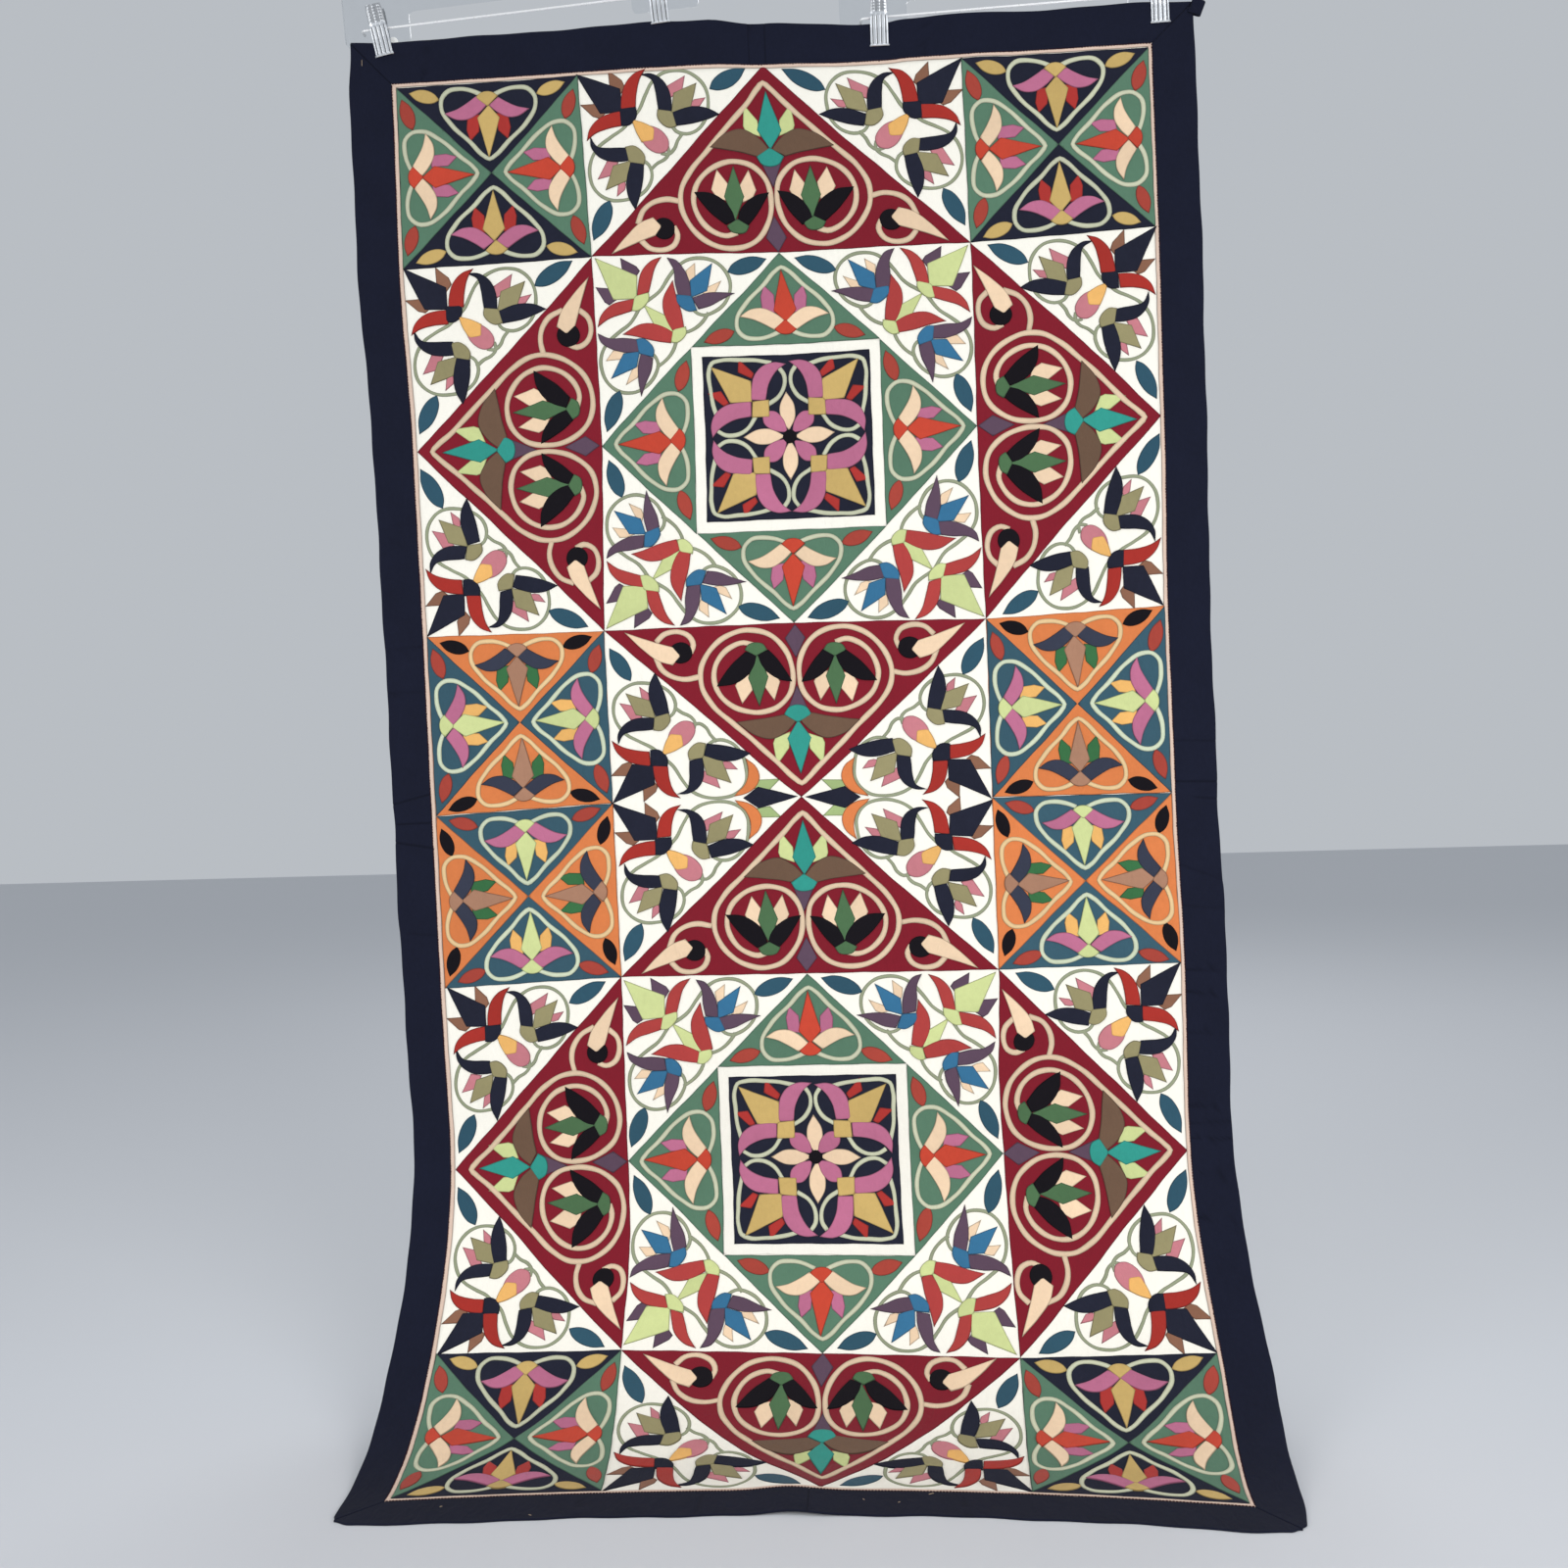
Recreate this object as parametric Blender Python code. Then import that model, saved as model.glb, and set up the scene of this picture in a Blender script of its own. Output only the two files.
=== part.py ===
"""Applique wall hanging, clipped to two clear bar hangers, its foot lying forward on the floor.

Metres, +Z up, seen from -Y. The origin is midway between the two hooks' crowns, in the hooks' plane.
The cloth is worked out on its own flat coordinates: s runs across from its middle line and t runs down
from the top of the pattern. A block of the pattern is one unit of u across and v down.
"""

import math
from collections import namedtuple

import bmesh
import bpy
from mathutils import Matrix, Vector

# Pattern blocks, as the maker cut them: no two columns or rows are quite alike
COLUMN_WIDTHS = (0.219, 0.230, 0.229, 0.217)
ROW_HEIGHTS = (0.216, 0.219, 0.227, 0.218, 0.212, 0.230, 0.230, 0.224)
COLUMNS = len(COLUMN_WIDTHS)
ROWS = len(ROW_HEIGHTS)
PATTERN_WIDTH = sum(COLUMN_WIDTHS)
PATTERN_HEIGHT = sum(ROW_HEIGHTS)
CELLS_PER_BLOCK = 4
FIRST_FINE_ROW = 5
EDGING_WIDTH = 0.005
BORDER_TOP = 0.0495
BORDER_BOTTOM = 0.0525
BORDER_LEFT = (0.053, 0.044)
BORDER_RIGHT = (0.050, 0.051)
CENTRE_INSET = 0.06

# How wide each row line hangs, against the mean width
ROW_STRETCH = (1.008, 1.005, 0.996, 1.000, 0.997, 1.002, 0.998, 1.009, 0.995)

# Thicknesses and clearances of the layers, counted from the middle of the ground cloth
GAP = 0.0003
GROUND_HALF = 0.0008
BORDER_HALF = 0.0010
PATCH_BACK = 0.00115
PATCH_FRONT = 0.00215
CENTRE_BACK = 0.0025
CENTRE_FRONT = 0.0035
SEAM_INSET_UNITS = 0.0016

# How the cloth hangs
FLOOR_DROP = 1.590
LEAN = 0.0056
DRIFT = 0.0123
BEND_RADIUS_MIDDLE = 0.270
BEND_RADIUS_LEFT = 0.326
BEND_RADIUS_RIGHT = 0.357
LIFT_AT_SEAM = 0.45
LIFT_END = 0.25

# Lift of the top edge in millimetres, s in metres: it is drawn up at the clips and sags between them
EdgeLift = namedtuple("EdgeLift", "s lift_mm")
TOP_EDGE = (
    EdgeLift(-0.510, 5.0),
    EdgeLift(-0.450, 2.0),
    EdgeLift(-0.330, 3.5),
    EdgeLift(-0.140, 7.5),
    EdgeLift(-0.070, 7.0),
    EdgeLift(0.000, -2.0),
    EdgeLift(0.110, -9.0),
    EdgeLift(0.148, -8.5),
    EdgeLift(0.162, -5.5),
    EdgeLift(0.210, -4.0),
    EdgeLift(0.255, -3.0),
    EdgeLift(0.300, -5.0),
    EdgeLift(0.440, -3.0),
    EdgeLift(0.510, -5.0),
)
# The short length of edge that clip 2 pulls up between its jaws
BITE_LIFT = 0.008
BITE_HALF_WIDTH = 0.008
BITE_FLAT_SHARE = 0.4
GRIP_SHARES = (-1.2, -0.5, 0.5, 1.2)

# Soft folds: middle across and down, half-width, half-length, height forward and sideways slant
Fold = namedtuple("Fold", "across down width length height slant")
FOLDS = (
    Fold(-0.43, 0.62, 0.060, 0.45, 0.0045, 0.03),
    Fold(-0.29, 0.45, 0.070, 0.32, -0.0040, 0.05),
    Fold(-0.13, 0.58, 0.060, 0.40, 0.0045, -0.04),
    Fold(0.02, 0.42, 0.070, 0.30, -0.0035, 0.00),
    Fold(0.14, 0.66, 0.060, 0.42, 0.0050, 0.04),
    Fold(0.30, 0.50, 0.075, 0.34, -0.0045, -0.03),
    Fold(0.45, 0.70, 0.055, 0.48, 0.0050, -0.02),
    Fold(-0.02, 1.80, 0.035, 0.080, 0.0045, 0.20),
    Fold(-0.50, 0.98, 0.030, 0.050, 0.0035, 0.00),
)
FOLD_START = 0.0
FOLD_FULL = 0.30

# Hangers: middle of each wire bar across and above the pattern's top, its rise to the right in degrees
Hanger = namedtuple("Hanger", "across above rise_deg half_span")
HANGERS = (
    Hanger(-0.2985, 0.0835, 3.5, 0.171),
    Hanger(0.3012, 0.0565, 1.5, 0.165),
)
# Clips: hanger number, side of it, and how far the top leans left in degrees
Clip = namedtuple("Clip", "hanger side lean_deg")
CLIPS = (
    Clip(0, -1, 10.4),
    Clip(0, 1, 4.7),
    Clip(1, -1, 0.1),
    Clip(1, 1, 1.8),
)
CLIP_WIDTH = 0.0206
LEAF_THICKNESS = 0.0011
SPRING_BLOCK_HALF = 0.0045
SPRING_BORE_RADIUS = 0.0032
BORE_SIDES = 16
# A clip leaf's middle line, from the lip of the jaw to the thumb grip: z above the bar, y from the middle
LeafPoint = namedtuple("LeafPoint", "z y")
LEAF_LINE = (
    LeafPoint(-0.0330, 0.00270),
    LeafPoint(-0.0310, 0.00185),
    LeafPoint(-0.0120, 0.00340),
    LeafPoint(0.0000, 0.00495),
    LeafPoint(0.0080, 0.00620),
    LeafPoint(0.0270, 0.00940),
)

BAR_RADIUS = 0.0015
BAR_OVERHANG = 0.022
BAR_BEND_RADIUS = 0.005
ARM_FRONT_Y = 0.012
ARM_THICKNESS = 0.006
ARM_PLANE_Y = ARM_FRONT_Y + ARM_THICKNESS / 2
ARM_PAD_OUT = 0.047
ARM_PAD_IN = 0.034
ARM_PAD_BELOW = 0.012
ARM_BOTTOM = 0.024
ARM_TOP = 0.050
ARM_NECK_TOP = 0.058
ARM_NECK_HALF = 0.011
ARM_NECK_FLARE = 0.006
ARM_FILLET = 0.007
SOCKET_DEPTH = 0.0033
CUTTER_OVERRUN = 0.004
HOOK_WIRE_RADIUS = 0.0017
HOOK_RADIUS = 0.0220
HOOK_CENTRE = 0.0960
HOOK_SHANK_IN = 0.008
HOOK_SHANK_OUT = 0.007
HOOK_SWING_STEPS = (0.3, 0.6, 0.85)
HOOK_START_DEG = -55.0
HOOK_END_DEG = 205.0
HOOK_CROWN = HOOK_CENTRE + HOOK_RADIUS - HOOK_WIRE_RADIUS

# The cloth's plane and the top of its pattern, under the middle of the two crowns
HANG_PLANE_Y = -ARM_PLANE_Y
PATTERN_TOP_Z = -HOOK_CROWN - sum(hanger.above for hanger in HANGERS) / len(HANGERS)

TUCK_SIZE = (0.013, 0.006, 0.019)
TUCK_TURN_DEG = 14.0
TUCK_EDGE_RADIUS = 0.0022
TUCK_DROP = 0.0086

# A corner's arc takes at most this share of each side, and a flatter corner stays as it is
ARC_SIDE_SHARE = 0.45
FLAT_CORNER_HALF_DEG = 85.0

# Colours as seen, 0 to 255
COLOURS = {
    "cream": (250, 247, 238),
    "navy": (30, 32, 52),
    "salmon": (238, 200, 180),
    "dark_red": (130, 25, 45),
    "green": (76, 128, 100),
    "centre_navy": (36, 40, 58),
    "orange": (222, 122, 60),
    "teal": (55, 95, 115),
}


def material(name, colour, roughness, metallic=0.0):
    """A plain Principled material from a colour as seen."""
    made = bpy.data.materials.get(name)
    if made:
        return made
    made = bpy.data.materials.new(name)
    made.use_nodes = True
    shader = made.node_tree.nodes["Principled BSDF"]
    linear = [(c / 255 / 12.92) if c <= 10 else ((c / 255 + 0.055) / 1.055) ** 2.4 for c in colour]
    shader.inputs["Base Color"].default_value = (*linear, 1.0)
    shader.inputs["Roughness"].default_value = roughness
    shader.inputs["Metallic"].default_value = metallic
    return made


def cloth_material(name):
    return material("cloth_" + name, COLOURS[name], 0.9)


def smoothstep(value):
    value = min(max(value, 0.0), 1.0)
    return value * value * (3 - 2 * value)


def along(lines, units):
    """Metres at a place counted in blocks; past either end the last block's size carries on."""
    whole = min(max(math.floor(units), 0), len(lines) - 1)
    return sum(lines[:whole]) + lines[whole] * (units - whole)


def across_at(u):
    return along(COLUMN_WIDTHS, u) - PATTERN_WIDTH / 2


def down_at(v):
    return along(ROW_HEIGHTS, v)


def row_stretch(t):
    """Width against the mean at t down, eased from row line to row line."""
    lines = [down_at(v) for v in range(ROWS + 1)]
    if t <= lines[0]:
        return ROW_STRETCH[0]
    for row in range(ROWS):
        if t <= lines[row + 1]:
            part = smoothstep((t - lines[row]) / (lines[row + 1] - lines[row]))
            return ROW_STRETCH[row] + (ROW_STRETCH[row + 1] - ROW_STRETCH[row]) * part
    return ROW_STRETCH[-1]


def edge_lift(s, t):
    """How far the clips draw the cloth up at this place, in metres."""
    table = TOP_EDGE
    if s <= table[0].s:
        lift = table[0].lift_mm
    elif s >= table[-1].s:
        lift = table[-1].lift_mm
    else:
        for left, right in zip(table, table[1:]):
            if s <= right.s:
                part = smoothstep((s - left.s) / (right.s - left.s))
                lift = left.lift_mm + (right.lift_mm - left.lift_mm) * part
                break
    lift /= 1000
    if t < -EDGING_WIDTH:
        height = -(t + EDGING_WIDTH) / BORDER_TOP
        bite = abs(s - clip_place(CLIPS[1]).x) / BITE_HALF_WIDTH
        lift = lift * (LIFT_AT_SEAM + (1 - LIFT_AT_SEAM) * height)
        return lift + BITE_LIFT * height**2 * (1 - smoothstep(bite - BITE_FLAT_SHARE))
    return lift * LIFT_AT_SEAM * (1 - smoothstep((t + EDGING_WIDTH) / LIFT_END))


def fold_height(s, t):
    """How far the soft folds stand forward of the plain sheet."""
    start = smoothstep((t - FOLD_START) / FOLD_FULL)
    total = 0.0
    for fold in FOLDS:
        aside = (s - fold.across - fold.slant * (t - fold.down)) / fold.width
        along_fold = (t - fold.down) / fold.length
        total += fold.height * math.exp(-aside * aside - along_fold * along_fold)
    return total * start


def plain_point(s, t):
    """The sheet's middle with no folds: straight down, one bend, then flat on the floor."""
    side = 2 * s / PATTERN_WIDTH
    end_radius = BEND_RADIUS_LEFT if side < 0 else BEND_RADIUS_RIGHT
    radius = BEND_RADIUS_MIDDLE + (end_radius - BEND_RADIUS_MIDDLE) * side * side
    bend_start = FLOOR_DROP - radius
    x = s * row_stretch(t) + DRIFT * t
    z = PATTERN_TOP_Z + edge_lift(s, t)
    y = HANG_PLANE_Y
    if t <= bend_start:
        return Vector((x, y - LEAN * max(t, 0.0), z - t))
    y -= LEAN * bend_start
    angle = min((t - bend_start) / radius, math.pi / 2)
    flat = max(t - bend_start - radius * math.pi / 2, 0.0)
    y -= radius * (1 - math.cos(angle)) + flat
    return Vector((x, y, z - bend_start - radius * math.sin(angle)))


def facing(place, s, t, step=0.002):
    """The unit normal of a sheet given by the function place, on its front."""
    aside = place(s + step, t) - place(s - step, t)
    down = place(s, t + step) - place(s, t - step)
    return down.cross(aside).normalized()


def cloth_point(s, t):
    """The middle of the cloth with its folds."""
    return plain_point(s, t) + facing(plain_point, s, t) * fold_height(s, t)


def cloth_at(s, t, offset=0.0):
    """A point at a height over the middle of the cloth."""
    return cloth_point(s, t) + facing(cloth_point, s, t) * offset


# The facets of the ground cloth, in blocks: every patch is cut along them, so layers stay parallel
def slanted_left(u, v):
    """Whether the pattern's 45 degree seams run down to the left here."""
    return (u < COLUMNS / 2) == (v % 4 < 2)


def cell_facets(u0, v0, u1, v1, fine):
    """Triangles of one cell, cut by the diagonal that the pattern's seams follow."""
    if slanted_left((u0 + u1) / 2, (v0 + v1) / 2):
        start, end, one, other = (u1, v0), (u0, v1), (u0, v0), (u1, v1)
    else:
        start, end, one, other = (u0, v0), (u1, v1), (u1, v0), (u0, v1)
    if not fine:
        return [(start, end, one), (start, end, other)]
    middle = ((u0 + u1) / 2, (v0 + v1) / 2)
    beside_end = (end[0], middle[1])
    beside_start = (start[0], middle[1])
    return [
        (start, one, middle),
        (one, beside_end, middle),
        (beside_end, end, middle),
        (end, other, middle),
        (other, beside_start, middle),
        (beside_start, start, middle),
    ]


LEFT_EDGE = -EDGING_WIDTH / COLUMN_WIDTHS[0]
RIGHT_EDGE = COLUMNS + EDGING_WIDTH / COLUMN_WIDTHS[-1]
TOP_EDGING = -EDGING_WIDTH / ROW_HEIGHTS[0]
BOTTOM_EDGING = ROWS + EDGING_WIDTH / ROW_HEIGHTS[-1]
U_LINES = [LEFT_EDGE] + [n / CELLS_PER_BLOCK for n in range(COLUMNS * CELLS_PER_BLOCK + 1)] + [RIGHT_EDGE]
V_LINES = [TOP_EDGING] + [n / CELLS_PER_BLOCK for n in range(ROWS * CELLS_PER_BLOCK + 1)] + [BOTTOM_EDGING]


def mitre_facets(u0, v0, u1, v1):
    """The corner cell of the edging, cut from its inner to its outer corner."""
    inner = (u1 if u0 < 0 else u0, v1 if v0 < 0 else v0)
    outer = (u0 if u0 < 0 else u1, v0 if v0 < 0 else v1)
    return [(inner, outer, (outer[0], inner[1])), (inner, outer, (inner[0], outer[1]))]


def margin_facets(u0, v0, u1, v1, fine):
    """A cell of the edging's strip, which a fine row halves."""
    middle = (v0 + v1) / 2
    spans = [(v0, middle), (middle, v1)] if fine else [(v0, v1)]
    found = []
    for top, bottom in spans:
        found.append(((u0, top), (u1, top), (u1, bottom)))
        found.append(((u0, top), (u1, bottom), (u0, bottom)))
    return found


def all_facets():
    """Every facet of the ground cloth, by cell."""
    found = {}
    for i, (u0, u1) in enumerate(zip(U_LINES, U_LINES[1:])):
        for j, (v0, v1) in enumerate(zip(V_LINES, V_LINES[1:])):
            beside = i in (0, len(U_LINES) - 2)
            beyond = j in (0, len(V_LINES) - 2)
            fine = v0 >= FIRST_FINE_ROW and not beyond
            if beside and beyond:
                found[i, j] = mitre_facets(u0, v0, u1, v1)
            elif beside or beyond:
                found[i, j] = margin_facets(u0, v0, u1, v1, fine)
            else:
                found[i, j] = cell_facets(u0, v0, u1, v1, fine)
    return found


FACETS = all_facets()
NODES = {}


def node(u, v):
    """Middle point and normal of the cloth at a corner of the facets."""
    if (u, v) not in NODES:
        s, t = across_at(u), down_at(v)
        NODES[u, v] = (cloth_point(s, t), facing(cloth_point, s, t))
    return NODES[u, v]


def line_index(lines, value):
    for index in range(len(lines) - 2):
        if value <= lines[index + 1]:
            return index
    return len(lines) - 2


def on_facets(u, v, offset):
    """A point over the ground cloth's facets, at a height over its middle."""
    best = None
    for facet in FACETS[line_index(U_LINES, u), line_index(V_LINES, v)]:
        (ua, va), (ub, vb), (uc, vc) = facet
        whole = (ub - ua) * (vc - va) - (uc - ua) * (vb - va)
        b = ((u - ua) * (vc - va) - (uc - ua) * (v - va)) / whole
        c = ((ub - ua) * (v - va) - (u - ua) * (vb - va)) / whole
        least = min(1 - b - c, b, c)
        if best is None or least > best[0]:
            best = (least, facet, (1 - b - c, b, c))
    point, normal = Vector(), Vector()
    for corner, share in zip(best[1], best[2]):
        at, out = node(*corner)
        point += at * share
        normal += out * share
    return point + normal * offset


def over_ground(place, offset):
    """A point over the ground cloth at a place in blocks."""
    return on_facets(*place, offset)


def over_border(place, offset):
    """A point over the border's own middle at a place in metres."""
    return cloth_at(*place, offset)


def new_object(name, mesh, finish):
    mesh.materials.append(finish)
    made = bpy.data.objects.new(name, mesh)
    bpy.context.scene.collection.objects.link(made)
    return made


def cloth_solid(name, places, triangles, height, back, front, finish):
    """A sheet with thickness from flat places and triangles; height(place, offset) gives its points."""
    count = len(places)
    points = [height(place, front) for place in places] + [height(place, back) for place in places]
    faces = []
    edges = {}
    for a, b, c in triangles:
        (ua, va), (ub, vb), (uc, vc) = places[a], places[b], places[c]
        if (ub - ua) * (vc - va) - (uc - ua) * (vb - va) > 0:
            b, c = c, b
        faces.append((a, b, c))
        faces.append((a + count, c + count, b + count))
        for start, end in ((a, b), (b, c), (c, a)):
            edges[start, end] = True
    for start, end in edges:
        if (end, start) not in edges:
            faces.append((end, start, start + count, end + count))
    mesh = bpy.data.meshes.new(name)
    mesh.from_pydata([tuple(point) for point in points], [], faces)
    mesh.update()
    return new_object(name, mesh, finish)


def gather(facets):
    """Places and index triangles of a list of facets."""
    places, triangles, index = [], [], {}
    for facet in facets:
        for corner in facet:
            if corner not in index:
                index[corner] = len(places)
                places.append(corner)
        triangles.append([index[corner] for corner in facet])
    return places, triangles


def inside(outline, u, v):
    """Whether a place is inside a convex outline whose corners run clockwise on the face."""
    for (ua, va), (ub, vb) in zip(outline, outline[1:] + outline[:1]):
        if (ub - ua) * (v - va) - (u - ua) * (vb - va) < -1e-9:
            return False
    return True


def drawn_in(outline, place, inset):
    """A place moved inwards by inset from each side of the outline that it lies on."""
    u, v = place
    lines = []
    for (ua, va), (ub, vb) in zip(outline, outline[1:] + outline[:1]):
        length = math.hypot(ub - ua, vb - va)
        normal = (-(vb - va) / length, (ub - ua) / length)
        distance = (u - ua) * normal[0] + (v - va) * normal[1]
        if abs(distance) < 1e-6:
            lines.append(normal)
    if not lines:
        return place
    if len(lines) == 1:
        return u + lines[0][0] * inset, v + lines[0][1] * inset
    (ax, ay), (bx, by) = lines[:2]
    whole = ax * by - ay * bx
    return u + inset * (by - ay) / whole, v + inset * (ax - bx) / whole


def patch(name, outline, finish, back=PATCH_BACK, front=PATCH_FRONT, inset=SEAM_INSET_UNITS):
    """A patch sewn on the ground cloth, cut along its facets inside a convex outline in blocks."""
    chosen = []
    for facets in FACETS.values():
        for facet in facets:
            u = sum(corner[0] for corner in facet) / 3
            v = sum(corner[1] for corner in facet) / 3
            if inside(outline, u, v):
                chosen.append(facet)
    places, triangles = gather(chosen)
    places = [drawn_in(outline, place, inset) for place in places]
    return cloth_solid(name, places, triangles, over_ground, back, front, finish)


def square_outline(u, v, size=1.0):
    return [(u, v), (u + size, v), (u + size, v + size), (u, v + size)]


def ground_cloth():
    """The cream base sheet, as far as the border's seam."""
    facets = [facet for group in FACETS.values() for facet in group]
    places, triangles = gather(facets)
    cream = cloth_material("cream")
    cloth_solid("ground_cloth", places, triangles, over_ground, -GROUND_HALF, GROUND_HALF, cream)


def edging():
    """Four narrow strips, mitred at the corners, between the pattern and the border."""
    salmon = cloth_material("salmon")
    left, right, top, bottom = LEFT_EDGE, RIGHT_EDGE, TOP_EDGING, BOTTOM_EDGING
    outlines = {
        "top": [(left, top), (right, top), (COLUMNS, 0), (0, 0)],
        "right": [(right, top), (right, bottom), (COLUMNS, ROWS), (COLUMNS, 0)],
        "bottom": [(right, bottom), (left, bottom), (0, ROWS), (COLUMNS, ROWS)],
        "left": [(left, bottom), (left, top), (0, 0), (0, ROWS)],
    }
    for side, outline in outlines.items():
        patch("edging_" + side, outline, salmon)


def patches():
    """The large coloured patches of the pattern."""
    red = cloth_material("dark_red")
    green = cloth_material("green")
    reds = []
    greens = []
    for middle in (2, 6):
        reds += [
            [(2, middle - 2), (3, middle - 1), (1, middle - 1)],
            [(1, middle - 1), (1, middle + 1), (0, middle)],
            [(3, middle - 1), (4, middle), (3, middle + 1)],
            [(1, middle + 1), (3, middle + 1), (2, middle + 2)],
        ]
        low, high = middle - 0.5, middle + 0.5
        greens += [
            [(2, middle - 1), (2.5, low), (1.5, low)],
            [(1.5, low), (1.5, high), (1, middle)],
            [(2.5, low), (3, middle), (2.5, high)],
            [(1.5, high), (2.5, high), (2, middle + 1)],
        ]
    for number, outline in enumerate(reds, 1):
        patch(f"red_triangle_{number}", outline, red)
    for number, outline in enumerate(greens, 1):
        patch(f"green_triangle_{number}", outline, green)
    for number, middle in enumerate((2, 6), 1):
        outline = square_outline(1.5, middle - 0.5)
        patch(f"white_square_{number}", outline, cloth_material("cream"))
        navy = cloth_material("centre_navy")
        patch(f"centre_square_{number}", outline, navy, CENTRE_BACK, CENTRE_FRONT, CENTRE_INSET)
    for number, (u, v) in enumerate(((0, 0), (3, 0), (0, 7), (3, 7)), 1):
        patch(f"corner_square_{number}", square_outline(u, v), cloth_material("centre_navy"))
    for number, (u, v) in enumerate(((0, 3), (3, 3), (0, 4), (3, 4)), 1):
        colour = "orange" if v == 3 else "teal"
        patch(f"side_square_{number}", square_outline(u, v), cloth_material(colour))


def border_width(side, t):
    """Width of a side border at t down."""
    start, end = BORDER_LEFT if side < 0 else BORDER_RIGHT
    return start + (end - start) * min(max(t / PATTERN_HEIGHT, 0.0), 1.0)


def outer_corner(side, end):
    """Outer corner of the border, s and t: side -1 is left, end -1 is the top."""
    seam = PATTERN_WIDTH / 2 + EDGING_WIDTH
    if end < 0:
        return side * (seam + border_width(side, 0)), -(EDGING_WIDTH + BORDER_TOP)
    low = PATTERN_HEIGHT + EDGING_WIDTH + BORDER_BOTTOM
    return side * (seam + border_width(side, PATTERN_HEIGHT)), low


def strip(name, inner, outer):
    """A border strip between two rows of places that run the same way."""
    places = inner + outer
    first = len(inner)
    length_in = max(abs(inner[-1][0] - inner[0][0]), abs(inner[-1][1] - inner[0][1]))
    length_out = max(abs(outer[-1][0] - outer[0][0]), abs(outer[-1][1] - outer[0][1]))

    def share(row, index, length):
        run = max(abs(row[index][0] - row[0][0]), abs(row[index][1] - row[0][1]))
        return run / length

    triangles = []
    i = j = 0
    while i < len(inner) - 1 or j < len(outer) - 1:
        next_in = share(inner, i + 1, length_in) if i < len(inner) - 1 else 2
        next_out = share(outer, j + 1, length_out) if j < len(outer) - 1 else 2
        if next_in <= next_out:
            triangles.append((i, i + 1, first + j))
            i += 1
        else:
            triangles.append((i, first + j + 1, first + j))
            j += 1
    navy = cloth_material("navy")
    return cloth_solid(name, places, triangles, over_border, -BORDER_HALF, BORDER_HALF, navy)


def borders():
    """Four navy strips whose ends are cut to a mitre, a little clear of each other and of the seam."""
    seam_s = PATTERN_WIDTH / 2 + EDGING_WIDTH + GAP
    seam_low = PATTERN_HEIGHT + EDGING_WIDTH + GAP
    seam_top = -EDGING_WIDTH - GAP
    rows = [down_at(v) for v in V_LINES]
    fine = [down_at(v + 0.5 / CELLS_PER_BLOCK) for v in V_LINES[1:-2] if v >= FIRST_FINE_ROW]
    downs = sorted(rows[1:-1] + fine)
    acrosses = [across_at(u) for u in U_LINES[1:-1]]
    for side, name in ((-1, "border_left"), (1, "border_right")):
        top_s, top_t = outer_corner(side, -1)
        low_s, low_t = outer_corner(side, 1)
        inner = [(side * seam_s, seam_top + 2 * GAP)]
        inner += [(side * seam_s, t) for t in downs]
        inner += [(side * seam_s, seam_low - 2 * GAP)]
        seam = PATTERN_WIDTH / 2 + EDGING_WIDTH
        outer = [(top_s, top_t + 2 * GAP)]
        outer += [(side * (seam + border_width(side, t)), t) for t in [0.0] + downs[1:-1]]
        outer += [(low_s, low_t - 2 * GAP)]
        strip(name, inner, outer)
    grip = [clip_place(clip).x + share * BITE_HALF_WIDTH for clip in CLIPS for share in GRIP_SHARES]
    for end, name in ((-1, "border_top"), (1, "border_bottom")):
        left_s, t = outer_corner(-1, end)
        right_s, _ = outer_corner(1, end)
        seam_t = seam_top if end < 0 else seam_low
        inner = [(-seam_s + 2 * GAP, seam_t)] + [(s, seam_t) for s in acrosses] + [(seam_s - 2 * GAP, seam_t)]
        extra = grip if end < 0 else []
        middles = sorted([entry.s for entry in TOP_EDGE[1:-1]] + extra) if end < 0 else acrosses[1:-1]
        outer = [(left_s + 2 * GAP, t)] + [(s, t) for s in middles] + [(right_s - 2 * GAP, t)]
        strip(name, inner, outer)


def corner_tuck():
    """A folded ear of spare border cloth at the upper right corner."""
    side, top = outer_corner(1, -1)
    corner = cloth_point(side, top)
    bm = bmesh.new()
    bmesh.ops.create_cube(bm, size=1.0)
    bmesh.ops.scale(bm, vec=TUCK_SIZE, verts=bm.verts)
    bmesh.ops.bevel(bm, geom=bm.edges[:], offset=TUCK_EDGE_RADIUS, segments=2, profile=0.5, affect="EDGES")
    mesh = bpy.data.meshes.new("corner_tuck")
    bm.to_mesh(mesh)
    bm.free()
    tuck = new_object("corner_tuck", mesh, cloth_material("navy"))
    turn = math.radians(TUCK_TURN_DEG)
    reach = TUCK_SIZE[0] / 2 * math.cos(turn) + TUCK_SIZE[2] / 2 * math.sin(turn)
    tuck.location = corner + Vector((reach + GAP, 0, -TUCK_DROP))
    tuck.rotation_euler = (0, turn, 0)


def hanger_frame(hanger):
    """Place and turn of a hanger: its bar's middle, its own X along the bar."""
    middle = Vector((hanger.across, HANG_PLANE_Y, PATTERN_TOP_Z + hanger.above))
    return Matrix.Translation(middle) @ Matrix.Rotation(-math.radians(hanger.rise_deg), 4, "Y")


def clip_drop(clip):
    """How far a clip sinks until its spring hangs on the bar, which is less when it hangs askew."""
    askew = math.radians(abs(clip.lean_deg - HANGERS[clip.hanger].rise_deg))
    room = SPRING_BORE_RADIUS * math.cos(math.pi / BORE_SIDES) - BAR_RADIUS - GAP
    return room - CLIP_WIDTH / 2 * math.tan(askew)


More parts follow.
